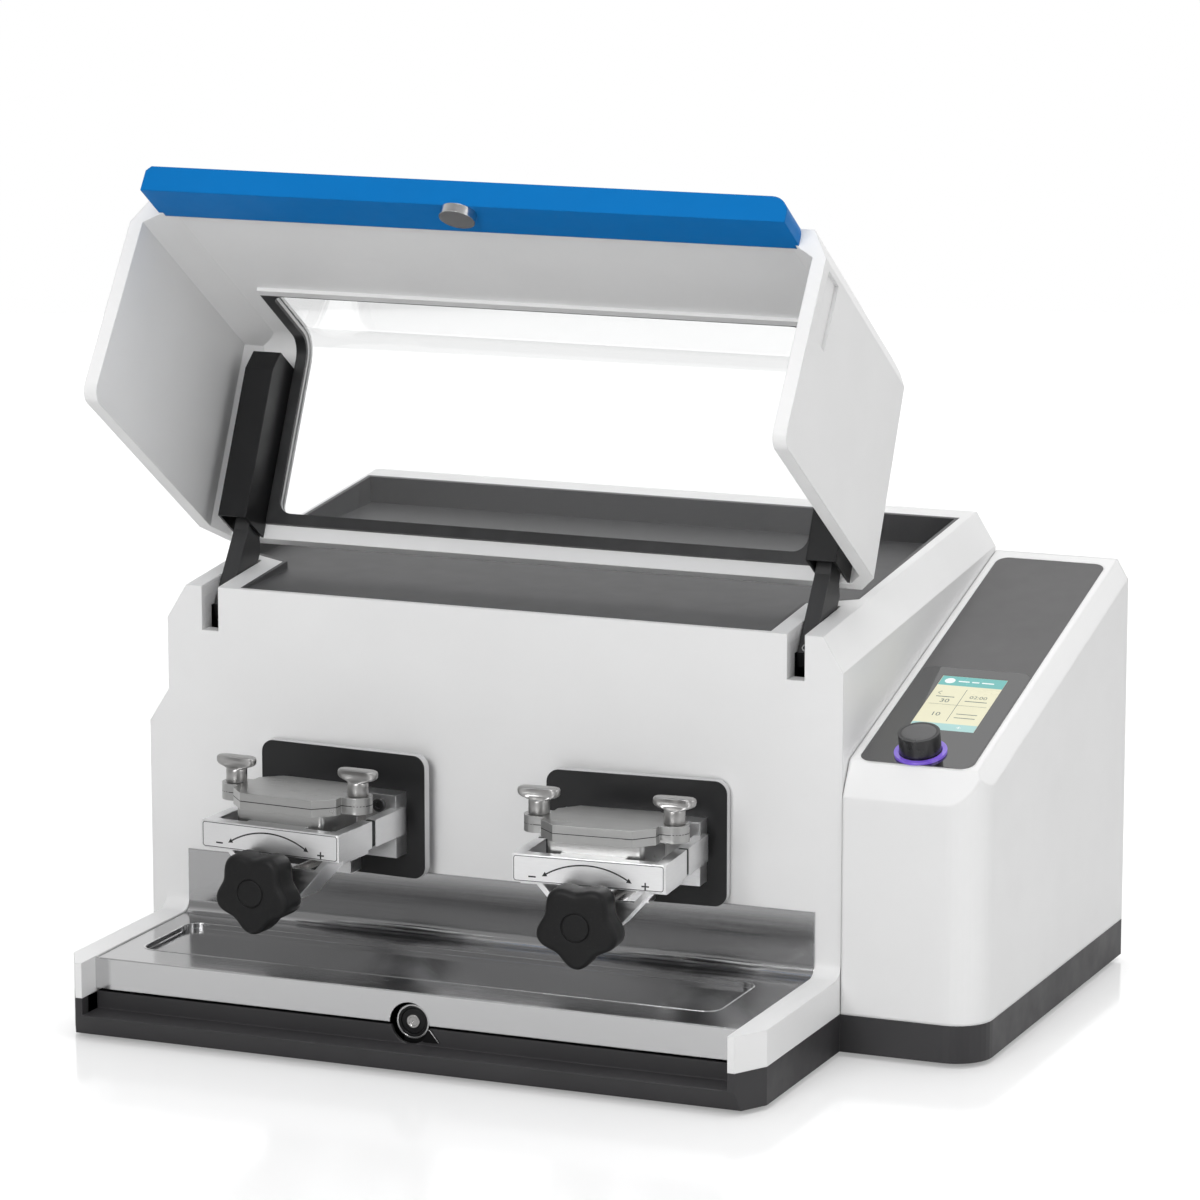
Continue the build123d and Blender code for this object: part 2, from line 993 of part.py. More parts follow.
with BuildPart() as dial_knob:
    disc(plan(panel_frame, dial_gap), (dial_x, dial_up), dial_radius, dial_height)
    disc(
        plan(panel_frame, 0),
        (dial_x, dial_up),
        dial_shaft_radius + dial_bore_play,
        dial_shaft_high + dial_bore_play,
        Mode.SUBTRACT,
    )
save(dial_knob, "dial_knob")


def lid_top(y):
    return lid_top_back - (lid_back - y) * tan(radians(lid_slope))


def lid_profile(plane, inset, bottom, back, depth, mode=Mode.ADD, heel=0.0):
    drop = inset / cos(radians(lid_slope))
    nose = lid_front + inset
    with BuildSketch(plane) as profile:
        with BuildLine():
            Polyline(
                (nose, bottom),
                (nose, lid_top(nose) - drop),
                (back, lid_top(back) - drop),
                (back, bottom),
                close=True,
            )
        make_face()
        fillet(
            [v for v in profile.vertices() if abs(v.X - nose) < 1 and v.Y > bottom + 1],
            lid_corner - inset,
        )
        if heel > 0:
            fillet([v for v in profile.vertices() if abs(v.X - back) < 1 and v.Y < bottom + 1], heel)
    extrude(profile.sketch, amount=depth, mode=mode)


def lid_form(inset, side_inset, bottom, back, bevel_side, bevel_back, heel):
    left = lid_left + side_inset
    right = chamber_width - side_inset
    nose = lid_front + inset
    lid_profile(side(lid_frame, left), inset, bottom, back, right - left, heel=heel)
    prism(
        plan(lid_frame, bottom),
        [
            (left + bevel_side, nose),
            (right - bevel_side, nose),
            (right, nose + bevel_back),
            (right, back),
            (left, back),
            (left, nose + bevel_back),
        ],
        overall_depth,
        Mode.INTERSECT,
    )
    across, down = inner_bevel(lid_top_bevel_side, lid_top_bevel_down, inset)
    top = lid_top(0) - inset / cos(radians(lid_slope))
    rise = lid_frame.y_dir * cos(radians(lid_slope)) + lid_frame.z_dir * sin(radians(lid_slope))
    for edge, way in ((left, 1), (right, -1)):
        with BuildSketch(front(lid_frame, 0)) as bevel:
            with BuildLine():
                Polyline(
                    (edge + way * across, top),
                    (edge + way * across, top + bevel_reach),
                    (edge - way * sheet, top + bevel_reach),
                    (edge - way * sheet, top - down),
                    (edge, top - down),
                    close=True,
                )
            make_face()
        extrude(bevel.sketch, amount=overall_depth, dir=rise, mode=Mode.SUBTRACT)


with BuildPart() as lid_space:
    lid_form(
        lid_wall,
        lid_side_wall,
        0,
        lid_back + lid_wall,
        lid_inner_bevel_side,
        lid_inner_bevel_back,
        0,
    )


with BuildPart() as window_hole:
    window_high = lid_top(window_back)
    prism(
        side(lid_frame, window_left),
        [
            (-lid_wall, window_bottom),
            (window_reach, window_bottom),
            (window_back, window_high - window_reach),
            (window_back, window_high + lid_wall),
            (-lid_wall, window_high + lid_wall),
        ],
        window_right - window_left,
    )
    cut_edges = window_hole.edges().filter_by(Axis.X, reverse=True)
    corner_edges = []
    for corner_x in (window_left, window_right):
        for corner_y, corner_z in ((lid_wall, window_bottom), (window_back, window_high - lid_wall)):
            corner_edges.append(cut_edges.sort_by_distance(spot(lid_frame, corner_x, corner_y, corner_z))[0])
    fillet(corner_edges, window_corner)

window_x = side(lid_frame, window_left - window_lap)
window_span = window_right - window_left + 2 * window_lap
with BuildPart() as lid_window:
    lid_profile(window_x, window_inset, window_bottom - window_lap, window_back + window_lap, window_span)
    lid_profile(window_x, window_inset + window_thick, 0, overall_depth, window_span, Mode.SUBTRACT)
save(lid_window, "lid_window")

seal_x = side(lid_frame, window_left - seal_width)
seal_span = window_right - window_left + 2 * seal_width
with BuildPart() as window_seal:
    lid_profile(seal_x, lid_wall, window_bottom - seal_width, window_back + seal_width, seal_span)
    lid_profile(seal_x, lid_wall + seal_thick, 0, overall_depth, seal_span, Mode.SUBTRACT)
    add(window_hole.part, mode=Mode.SUBTRACT)
save(window_seal, "window_seal")

with BuildPart() as lid_shell:
    lid_form(0, 0, lid_bottom, lid_back, lid_bevel_side, lid_bevel_back, lid_heel)
    add(lid_space.part, mode=Mode.SUBTRACT)
    add(window_hole.part, mode=Mode.SUBTRACT)
    add(lid_window.part, mode=Mode.SUBTRACT)
    for face_x in (lid_left, chamber_width - recess_depth):
        box(
            lid_frame,
            face_x,
            face_x + recess_depth,
            recess_front,
            recess_back,
            lid_bottom + lid_side_wall,
            recess_top,
            Mode.SUBTRACT,
        )
save(lid_shell, "lid_shell")

handle_left = cheek_width + handle_play
handle_right = chamber_width - cheek_width - handle_play
with BuildPart() as lid_handle:
    prism(
        side(lid_frame, handle_left),
        [
            (handle_front, handle_bottom),
            (handle_back, handle_bottom),
            (handle_back, handle_rear_top),
            (lid_front + lid_wall, handle_rear_top),
            (lid_front + lid_wall, lid_bottom),
            (lid_front, lid_bottom),
            (lid_front, handle_front_top),
            (lid_front - sheet, handle_front_top),
            (handle_front, lid_bottom),
        ],
        handle_right - handle_left,
    )
    prism(
        plan(lid_frame, 0),
        [
            (handle_left + handle_left_corner, handle_front),
            *quarter_turn(handle_right - handle_corner, handle_front + handle_corner, handle_corner),
            (handle_right, handle_back),
            (handle_left, handle_back),
            (handle_left, handle_front + handle_left_corner),
        ],
        overall_depth,
        Mode.INTERSECT,
    )
    add(lid_shell.part, mode=Mode.SUBTRACT)
save(lid_handle, "lid_handle")

with BuildPart() as handle_striker:
    disc(front(lid_frame, striker_end), (latch_x, latch_z), striker_radius, striker_end - handle_back)
    with BuildSketch(front(lid_frame, striker_end)) as hexagon:
        with Locations((latch_x, latch_z)):
            RegularPolygon(socket_size, 6)
    extrude(hexagon.sketch, amount=-socket_depth, mode=Mode.SUBTRACT)
save(handle_striker, "handle_striker")


def lid_under(y):
    return lid_top(y) - lid_wall / cos(radians(lid_slope))


with BuildPart() as hinge_arms:
    for arm_x in arm_places:
        prism(
            side(lid_frame, arm_x),
            [
                (hinge_y + arm_below, hinge_z - arm_below),
                (hinge_y + arm_heel, hinge_z - arm_heel_down),
                (hinge_y + arm_heel, hinge_z + arm_above),
                (chamber_depth + 2 * sheet, hinge_z + arm_above),
                (lid_back, lid_under(lid_back)),
                (arm_end, lid_under(arm_end)),
                (arm_end, hinge_z - arm_below - arm_drop),
                (lid_back + sheet, hinge_z - arm_below),
            ],
            arm_thick,
        )
        disc(side(lid_frame, arm_x), (hinge_y, hinge_z), pin_radius + pin_play, arm_thick, Mode.SUBTRACT)
save(hinge_arms, "hinge_arms")

with BuildPart() as arm_covers:
    for arm_x in arm_places:
        reach_left = cover_outward if arm_x < latch_x else cover_inward
        reach_right = cover_inward if arm_x < latch_x else cover_outward
        for wall, end, mode in ((0, 0, Mode.ADD), (cover_wall, lid_wall, Mode.SUBTRACT)):
            prism(
                side(lid_frame, arm_x - reach_left + wall),
                [
                    (cover_back + end, cover_back_z + wall),
                    (cover_back + end, lid_under(cover_back + end) + end),
                    (cover_front + wall, lid_under(cover_front + wall) + end),
                    (cover_front + wall, cover_front_z + wall),
                    (cover_nose, cover_nose_z + wall),
                ],
                arm_thick + reach_left + reach_right - 2 * wall,
                mode,
            )
save(arm_covers, "arm_covers")

with BuildPart() as hinge_pins:
    for arm_x in arm_places:
        disc(
            side(body, arm_x - slot_play - slot_wall),
            (hinge_y, hinge_z),
            pin_radius,
            arm_thick + 2 * slot_play + 2 * slot_wall,
        )
save(hinge_pins, "hinge_pins")


def octagon(front_edge, back_edge):
    half = octagon_half
    cut = octagon_cut
    return [
        (-half, -front_edge + cut),
        (-half + cut, -front_edge),
        (half - cut, -front_edge),
        (half, -front_edge + cut),
        (half, -back_edge - cut),
        (half - cut, -back_edge),
        (-half + cut, -back_edge),
        (-half, -back_edge - cut),
    ]


def jar_plate(frame, low, high):
    prism(plan(frame, low), octagon(jar_middle + octagon_depth, jar_middle - octagon_depth), high - low)
    slab(
        plan(frame, low),
        -ear_half,
        ear_half,
        -jar_middle - ear_depth,
        -jar_middle + ear_depth,
        ear_depth - jar_fit,
        high - low,
    )
    for wing_x in (-wing_offset, wing_offset):
        disc(
            plan(frame, low - sheet),
            (wing_x, -jar_middle),
            wing_shank + wing_hole_play,
            jar_lid_top,
            Mode.SUBTRACT,
        )


def station(hand, label):
    frame = station_frame(hand)
    save_name = label + "_"

    with BuildPart() as swing_plate:
        slab(
            front(frame, plate_thick),
            -plate_width / 2,
            plate_width / 2,
            plate_bottom,
            plate_top,
            plate_corner,
            plate_thick,
        )
    save(swing_plate, save_name + "swing_plate")

    with BuildPart() as rear_frame:
        box(frame, -block_half, block_half, -block_depth, 0, block_bottom, block_top)
        box(frame, -lug_half, lug_half, -block_depth, 0, lug_bottom, block_bottom)
        for way in (-1, 1):
            arm_sides = sorted((way * ring_half, way * (ring_half - ring_wall)))
            box(frame, *arm_sides, -rear_arm_end, -block_depth / 2, ring_bottom, ring_top)
            tongue = sorted(
                (way * (ring_half - tongue_inset), way * (ring_half - ring_wall + tongue_inset)),
            )
            box(frame, *tongue, -tongue_end, -rear_arm_end, tongue_low, tongue_high)
        disc(
            front(frame, 0),
            (0, spindle_z),
            spindle_radius + spindle_play,
            block_depth,
            Mode.SUBTRACT,
        )
    save(rear_frame, save_name + "rear_frame")

    with BuildPart() as rear_jaw:
        box(frame, -jaw_half, jaw_half, -jar_back + jar_fit, -block_depth, jaw_bottom, jaw_top)
        box(
            frame,
            -jaw_lip_half,
            jaw_lip_half,
            -jar_back - jaw_lip_reach,
            -block_depth,
            jar_bottom - jaw_lip,
            jar_bottom,
        )
        box(frame, -jaw_lip_half, jaw_lip_half, -jar_back + jar_fit, -block_depth, jar_bottom, jaw_bottom)
    save(rear_jaw, save_name + "rear_jaw")

    with BuildPart() as front_frame:
        slab(
            plan(frame, ring_bottom),
            -ring_half,
            ring_half,
            -ring_front,
            -front_arm_start + ring_corner,
            ring_corner,
            ring_top - ring_bottom,
        )
        box(frame, -ring_half, ring_half, -front_arm_start, 0, ring_bottom, ring_top, Mode.SUBTRACT)
        box(
            frame,
            -ring_half + ring_wall,
            ring_half - ring_wall,
            -ring_front + ring_wall,
            0,
            ring_bottom,
            ring_top,
            Mode.SUBTRACT,
        )
        box(
            frame,
            -pad_half,
            pad_half,
            -ring_front + ring_wall,
            -jar_front - jar_fit,
            ring_bottom + pad_rise,
            ring_top,
        )
        for way in (-1, 1):
            socket = sorted(
                (
                    way * (ring_half - tongue_inset + tongue_play),
                    way * (ring_half - ring_wall + tongue_inset - tongue_play),
                )
            )
            box(
                frame,
                *socket,
                -tongue_end - tongue_play,
                0,
                tongue_low - tongue_play,
                tongue_high + tongue_play,
                Mode.SUBTRACT,
            )
    save(front_frame, save_name + "front_frame")

    with BuildPart() as cradle:
        prism(
            front(frame, -cradle_back),
            [
                (-cradle_tab, ring_bottom),
                (-cradle_tab, ring_bottom - cradle_sheet),
                (-cradle_top_half, ring_bottom - cradle_sheet),
                (-cradle_bottom_half, cradle_bottom),
                (cradle_bottom_half, cradle_bottom),
                (cradle_top_half, ring_bottom - cradle_sheet),
                (cradle_tab, ring_bottom - cradle_sheet),
                (cradle_tab, ring_bottom),
                (cradle_top_half - cradle_sheet / 2, ring_bottom),
                (cradle_bottom_half - cradle_sheet / 2, cradle_bottom + cradle_sheet),
                (-cradle_bottom_half + cradle_sheet / 2, cradle_bottom + cradle_sheet),
                (-cradle_top_half + cradle_sheet / 2, ring_bottom),
            ],
            cradle_front - cradle_back,
        )
        prism(
            front(frame, -cradle_front + cradle_sheet),
            [
                (-web_half, web_top),
                (-cradle_bottom_half, cradle_bottom),
                (cradle_bottom_half, cradle_bottom),
                (web_half, web_top),
            ],
            cradle_sheet,
        )
        disc(front(frame, 0), (0, spindle_z), spindle_radius + spindle_play, ring_front, Mode.SUBTRACT)
    save(cradle, save_name + "cradle")

    collar_back = cradle_front - cradle_sheet - collar_gap - collar_length
    with BuildPart() as spindle:
        disc(front(frame, -spindle_start), (0, spindle_z), spindle_radius, knob_back - spindle_start)
        disc(front(frame, -collar_back), (0, spindle_z), collar_radius, collar_length)
    save(spindle, save_name + "spindle")

    with BuildPart() as star_knob:
        disc(
            front(frame, -cradle_front - collar_gap),
            (0, spindle_z),
            knob_sleeve,
            knob_back - cradle_front - collar_gap,
        )
        with BuildSketch(front(frame, -knob_back)) as lobes:
            with BuildLine():
                Spline(*knob_outline(), periodic=True)
            make_face()
        extrude(lobes.sketch, amount=knob_front - knob_back)
        disc(front(frame, -knob_front), (0, spindle_z), knob_cap, cap_rise)
        disc(
            front(frame, -cradle_front),
            (0, spindle_z),
            spindle_radius,
            knob_back - cradle_front,
            Mode.SUBTRACT,
        )
    save(star_knob, save_name + "star_knob")

    with BuildPart() as jar_body:
        slab(
            plan(frame, jar_bottom),
            -jar_half,
            jar_half,
            -jar_front,
            -jar_back,
            jar_corner,
            flange_bottom - jar_bottom,
        )
        jar_plate(frame, flange_bottom, flange_top)
        disc(plan(frame, jar_bottom + jar_floor), (0, -jar_middle), jar_bore, flange_top, Mode.SUBTRACT)
    save(jar_body, save_name + "jar_body")

    with BuildPart() as jar_lid:
        jar_plate(frame, flange_top + jar_fit, jar_lid_top)
        disc(
            plan(frame, flange_top - plug_depth),
            (0, -jar_middle),
            jar_bore - plug_play,
            plug_depth + jar_fit,
        )
    save(jar_lid, save_name + "jar_lid")

    for way, place in ((hand, "outer"), (-hand, "inner")):
        with BuildPart() as wing_screw:
            centre = (way * wing_offset, -jar_middle)
            disc(plan(frame, wing_shank_bottom), centre, wing_shank, wing_stem_top - wing_shank_bottom)
            disc(
                plan(frame, jar_lid_top + jar_fit),
                centre,
                wing_stem,
                wing_stem_top - jar_lid_top - jar_fit,
            )
            slab(
                plan(frame, wing_stem_top),
                centre[0] - wing_length / 2,
                centre[0] + wing_length / 2,
                centre[1] - wing_width / 2,
                centre[1] + wing_width / 2,
                wing_width / 2 - jar_fit,
                wing_top - wing_stem_top,
            )
        save(wing_screw, save_name + place + "_wing_screw")


station(-1, "left")
station(1, "right")

# Toothed segments: both have their pitch circles half the station spacing in radius
gear_radius = station_spacing / 2
gear_teeth = round(2 * gear_radius / gear_module)
gear_pitch = 2 * gear_radius / gear_teeth
pinion_radius = gear_pitch * pinion_teeth / 2
pinion_angle = (pinion_gap + 1 / 2) * 2 * pi / gear_teeth


def gear_points(teeth, first, last, phase):
    pitch_radius = gear_pitch * teeth / 2
    base_radius = pitch_radius * cos(radians(gear_pressure))
    tip = pitch_radius + gear_addendum * gear_pitch
    root = pitch_radius - gear_dedendum * gear_pitch
    flank_lean = tan(radians(gear_pressure)) - radians(gear_pressure)
    half = (pi * gear_pitch / 2 - gear_play) / 2 / pitch_radius + flank_lean
    low = max(root, base_radius)
    flank = [(root, half)] if root < base_radius else []
    for step in range(flank_steps + 1):
        r = low + (tip - low) * step / flank_steps
        pressure = acos(min(1, base_radius / r))
        flank.append((r, half - tan(pressure) + pressure))
    points = []
    for tooth in range(first, last + 1):
        middle = phase + tooth * 2 * pi / teeth
        points += [(r * cos(middle - a), r * sin(middle - a)) for r, a in flank]
        points += [(r * cos(middle + a), r * sin(middle + a)) for r, a in reversed(flank)]
    return points


def rocker(hand, name, first, last, phase):
    frame = station_frame(hand)
    pivot = spot(body, station_mid + hand * station_spacing / 2, plate_y + pivot_back, 0)
    upright = Plane(origin=(pivot.X, pivot.Y, 0), x_dir=(1, 0, 0), z_dir=(0, 0, 1))
    with BuildPart() as arm:
        box(frame, -neck_half, neck_half, plate_thick, pivot_back, neck_bottom, neck_top)
        disc(plan(upright, boss_bottom), (0, 0), boss_radius, boss_top - boss_bottom)
        prism(
            plan(upright, gear_bottom),
            [(0, 0)] + gear_points(gear_teeth, first, last, phase),
            gear_thick,
        )
        disc(
            plan(upright, boss_bottom),
            (0, 0),
            shaft_radius + boss_play,
            boss_top - boss_bottom,
            Mode.SUBTRACT,
        )
        for bearing_z in (boss_bottom, boss_top - bearing_width):
            disc(
                plan(upright, bearing_z),
                (0, 0),
                bearing_radius + running_play,
                bearing_width,
                Mode.SUBTRACT,
            )
        if last - first > pinion_gap:
            for window_turn in gear_window_turns:
                window_angle = radians(window_turn)
                disc(
                    plan(upright, gear_bottom),
                    (gear_window_reach * cos(window_angle), gear_window_reach * sin(window_angle)),
                    gear_window,
                    gear_thick,
                    Mode.SUBTRACT,
                )
    save(arm, name)


rocker(-1, "left_rocker", left_teeth_first, left_teeth_last, 0)
rocker(1, "right_rocker", right_teeth_first, right_teeth_last, pi - pi / gear_teeth)

pivots = [
    spot(body, station_mid + hand * station_spacing / 2, plate_y + pivot_back, 0) for hand in (-1, 1)
]
chassis_top = floor_top + chassis_thick
with BuildPart() as chassis_plate:
    box(
        body,
        chassis_margin,
        chamber_width - chassis_margin,
        chassis_front,
        chassis_back,
        floor_top,
        chassis_top,
    )
save(chassis_plate, "chassis_plate")

level = Plane.XY
with BuildPart() as pivot_shafts:
    for pivot in pivots:
        at = (pivot.X, pivot.Y)
        disc(plan(level, chassis_top), at, shaft_radius, bridge_bottom - chassis_top)
        disc(plan(level, chassis_top), at, shaft_flange, boss_bottom - flange_gap - chassis_top)
        disc(plan(level, bridge_bottom), at, shaft_tip, bridge_thick)
save(pivot_shafts, "pivot_shafts")

with BuildPart() as rocker_bearings:
    for pivot in pivots:
        for bearing_z in (boss_bottom, boss_top - bearing_width):
            disc(plan(level, bearing_z), (pivot.X, pivot.Y), bearing_radius, bearing_width)
            disc(plan(level, bearing_z), (pivot.X, pivot.Y), shaft_radius, bearing_width, Mode.SUBTRACT)
save(rocker_bearings, "rocker_bearings")

bridge_left = pivots[0].X - bridge_overhang
bridge_right = pivots[1].X + bridge_overhang
bridge_y = pivots[0].Y
with BuildPart() as shaft_bridge:
    box(
        level,
        bridge_left,
        bridge_right,
        bridge_y - bridge_half,
        bridge_y + bridge_half,
        bridge_bottom,
        bridge_bottom + bridge_thick,
    )
    for post_x in (bridge_left, bridge_right - bridge_post):
        box(
            level,
            post_x,
            post_x + bridge_post,
            bridge_y - bridge_half,
            bridge_y + bridge_half,
            chassis_top,
            bridge_bottom,
        )
    for pivot in pivots:
        disc(plan(level, bridge_bottom), (pivot.X, pivot.Y), shaft_tip, bridge_thick, Mode.SUBTRACT)
save(shaft_bridge, "shaft_bridge")

motor_reach = gear_radius + pinion_radius
motor_x = pivots[0].X + motor_reach * cos(pinion_angle)
motor_y = pivots[0].Y + motor_reach * sin(pinion_angle)
motor_frame = Plane(origin=(motor_x, motor_y, 0), x_dir=(1, 0, 0), z_dir=(0, 0, 1))
with BuildPart() as drive_motor:
    disc(plan(motor_frame, chassis_top), (0, 0), motor_radius, motor_top - chassis_top)
    with BuildSketch(plan(motor_frame, chassis_top + motor_cap_height)) as fins:
        with PolarLocations(motor_radius, motor_fins):
            Rectangle(2 * fin_depth, fin_width)
    extrude(fins.sketch, amount=motor_top - chassis_top - 2 * motor_cap_height, mode=Mode.SUBTRACT)
    disc(plan(motor_frame, motor_top), (0, 0), motor_cap, motor_cap_height)
    disc(
        plan(motor_frame, motor_top),
        (0, 0),
        motor_shaft + running_play,
        motor_cap_height,
        Mode.SUBTRACT,
    )
save(drive_motor, "drive_motor")

pinion_low = gear_bottom - pinion_drop
with BuildPart() as motor_pinion:
    pinion_phase = pinion_angle + pi
    prism(
        plan(motor_frame, pinion_low),
        gear_points(pinion_teeth, 0, pinion_teeth - 1, pinion_phase),
        gear_thick + fin_width,
    )
    disc(plan(motor_frame, motor_top + collar_gap), (0, 0), motor_shaft, pinion_low - motor_top)
save(motor_pinion, "motor_pinion")

with BuildPart() as power_supply:
    box(
        body,
        supply_left,
        supply_right,
        supply_front,
        supply_back,
        chassis_top,
        chassis_top + supply_height,
    )
save(power_supply, "power_supply")

board_x = right_edge - sheet - board_gap - board_thick
with BuildPart() as control_board:
    box(body, board_x, board_x + board_thick, board_front, board_back, board_low, board_high)
    for peg_y in (board_front + board_margin, board_back - board_margin):
        for peg_z in (board_low + board_margin, board_high - board_margin):
            disc(side(body, board_x), (peg_y, peg_z), board_peg, board_thick + board_gap)
save(control_board, "control_board")

rear_front = housing_depth - rear_sheet
with BuildPart() as rear_panel:
    sheared(
        front(body, rear_front),
        housing_section(rear_front, sheet, 0),
        rear_sheet,
        housing_slope,
    )
    box(body, -skirt_step, chamber_width, 0, overall_depth, -sheet, base_top, Mode.SUBTRACT)
    disc(front(body, overall_depth), (fan_x, fan_z), fan_bore, overall_depth - rear_front, Mode.SUBTRACT)
    for ring in range(1, 4):
        guard_radius = fan_bore * ring / 4
        disc(front(body, housing_depth), (fan_x, fan_z), guard_radius + rear_sheet / 2, rear_sheet)
        disc(
            front(body, housing_depth),
            (fan_x, fan_z),
            guard_radius - rear_sheet / 2,
            rear_sheet,
            Mode.SUBTRACT,
        )
    box(
        body,
        fan_x - fan_bore,
        fan_x + fan_bore,
        rear_front,
        housing_depth,
        fan_z - rear_sheet,
        fan_z + rear_sheet,
    )
    box(
        body,
        fan_x - rear_sheet,
        fan_x + rear_sheet,
        rear_front,
        housing_depth,
        fan_z - fan_bore,
        fan_z + fan_bore,
    )
    for vent in range(vent_count):
        vent_z = fan_z - vent_pitch * (vent - vent_count / 2)
        box(
            body,
            inlet_x - vent_width / 2,
            inlet_x + vent_width / 2,
            0,
            overall_depth,
            vent_z,
            vent_z + vent_height,
            Mode.SUBTRACT,
        )
    box(
        body,
        inlet_x - inlet_width / 2,
        inlet_x + inlet_width / 2,
        0,
        overall_depth,
        inlet_z - inlet_height / 2,
        inlet_z + inlet_height / 2,
        Mode.SUBTRACT,
    )
save(rear_panel, "rear_panel")

with BuildPart() as power_inlet:
    box(
        body,
        inlet_x - inlet_width / 2,
        inlet_x + inlet_width / 2,
        housing_depth - inlet_inside,
        housing_depth,
        inlet_z - inlet_height / 2,
        inlet_z + inlet_height / 2,
    )
    box(
        body,
        inlet_x - inlet_width / 2 - inlet_rim,
        inlet_x + inlet_width / 2 + inlet_rim,
        housing_depth,
        housing_depth + inlet_flange,
        inlet_z - inlet_height / 2 - inlet_rim,
        inlet_z + inlet_height / 2 + inlet_rim,
    )
    box(
        body,
        inlet_x - plug_width / 2,
        inlet_x + plug_width / 2,
        housing_depth + inlet_flange - plug_hole_depth,
        overall_depth,
        plug_z - plug_height / 2,
        plug_z + plug_height / 2,
        Mode.SUBTRACT,
    )
    for pin in (-1, 0, 1):
        disc(
            front(body, housing_depth - plug_pin),
            (inlet_x + pin * plug_pin_pitch, plug_z),
            plug_pin,
            plug_hole_depth,
        )
    box(
        body,
        inlet_x - switch_width / 2 - switch_play,
        inlet_x + switch_width / 2 + switch_play,
        housing_depth + inlet_flange - switch_depth,
        overall_depth,
        switch_z - switch_height / 2,
        switch_z + switch_height / 2,
        Mode.SUBTRACT,
    )
save(power_inlet, "power_inlet")

switch_y = housing_depth + inlet_flange - switch_depth / 2
switch_reach = switch_height / 2 - switch_end_gap
with BuildPart() as mains_switch:
    with BuildSketch(side(body, inlet_x - switch_width / 2)) as rocker_key:
        with BuildLine():
            Polyline(
                (switch_y - switch_pin, switch_z - switch_reach),
                (switch_y + switch_pin, switch_z - switch_reach),
                (switch_y + switch_depth / 2, switch_z),
                (switch_y + switch_depth / 2 + switch_pin, switch_z + switch_reach),
                (switch_y + switch_pin, switch_z + switch_reach),
                (switch_y - switch_pin, switch_z),
                close=True,
            )
        make_face()
    extrude(rocker_key.sketch, amount=switch_width)
    disc(side(body, inlet_x - switch_width / 2), (switch_y, switch_z), switch_barrel, switch_width)
save(mains_switch, "mains_switch")

fan_back = rear_front
with BuildPart() as fan_frame:
    box(
        body,
        fan_x - fan_size / 2,
        fan_x + fan_size / 2,
        fan_back - fan_depth,
        fan_back,
        fan_z - fan_size / 2,
        fan_z + fan_size / 2,
    )
    disc(front(body, overall_depth), (fan_x, fan_z), fan_bore, overall_depth, Mode.SUBTRACT)
    for across_x, across_z in ((fan_bore, fan_strut / 2), (fan_strut / 2, fan_bore)):
        box(
            body,
            fan_x - across_x - rear_sheet / 2,
            fan_x + across_x + rear_sheet / 2,
            fan_back - fan_depth,
            fan_back - fan_depth + fan_strut,
            fan_z - across_z - rear_sheet / 2,
            fan_z + across_z + rear_sheet / 2,
        )
    disc(front(body, fan_back - fan_depth + fan_strut), (fan_x, fan_z), fan_hub, fan_strut)
save(fan_frame, "fan_frame")

with BuildPart() as fan_rotor:
    disc(front(body, fan_back - fan_play), (fan_x, fan_z), fan_hub, fan_depth - fan_strut - 2 * fan_play)
    for blade in range(fan_blades):
        turn = 2 * pi * blade / fan_blades
        lean = cos(radians(blade_twist))
        blade_plane = Plane(
            origin=spot(body, fan_x, fan_back - fan_depth / 2 + fan_strut / 2, fan_z),
            x_dir=(-sin(turn) * lean, sin(radians(blade_twist)), cos(turn) * lean),
            z_dir=(cos(turn), 0, sin(turn)),
        )
        with BuildSketch(plan(blade_plane, fan_hub - fan_play)) as blade_outline:
            Rectangle(blade_width, blade_thick)
        extrude(blade_outline.sketch, amount=fan_bore - fan_hub)
save(fan_rotor, "fan_rotor")
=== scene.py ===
"""Bench mixer mill, dressed for rendering. Metres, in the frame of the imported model."""

import math
from contextlib import contextmanager

import bmesh
import bpy
from mathutils import Matrix, Vector


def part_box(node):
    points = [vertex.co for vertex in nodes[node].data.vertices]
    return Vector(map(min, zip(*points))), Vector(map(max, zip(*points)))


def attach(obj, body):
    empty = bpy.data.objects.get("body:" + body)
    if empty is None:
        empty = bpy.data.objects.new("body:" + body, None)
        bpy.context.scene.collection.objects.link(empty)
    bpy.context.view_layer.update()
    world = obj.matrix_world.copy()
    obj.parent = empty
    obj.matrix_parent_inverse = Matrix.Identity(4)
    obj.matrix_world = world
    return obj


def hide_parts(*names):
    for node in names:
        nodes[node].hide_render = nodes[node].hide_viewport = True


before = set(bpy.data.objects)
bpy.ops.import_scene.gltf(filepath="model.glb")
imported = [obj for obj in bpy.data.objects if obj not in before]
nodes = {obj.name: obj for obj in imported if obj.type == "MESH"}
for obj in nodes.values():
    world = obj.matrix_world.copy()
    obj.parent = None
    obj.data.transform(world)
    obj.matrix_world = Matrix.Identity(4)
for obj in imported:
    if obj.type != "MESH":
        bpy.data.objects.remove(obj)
bpy.context.view_layer.update()
MM = 0.001


# ---------------------------------------------------------------- materials

BSDF = "Principled BSDF"
# Noise scales count features in a metre. Starts and ends are noise values between 0 and 1.
FINE_DETAIL, FINE_ROUGH = 2.0, 0.6
STREAK_RATIO = 2.0
STREAK_DEPTH = 2.2
SPECK_SCALE = 0.8
SPECK_START, SPECK_END = 0.6, 0.75
LEAST_ROUGH = 0.02
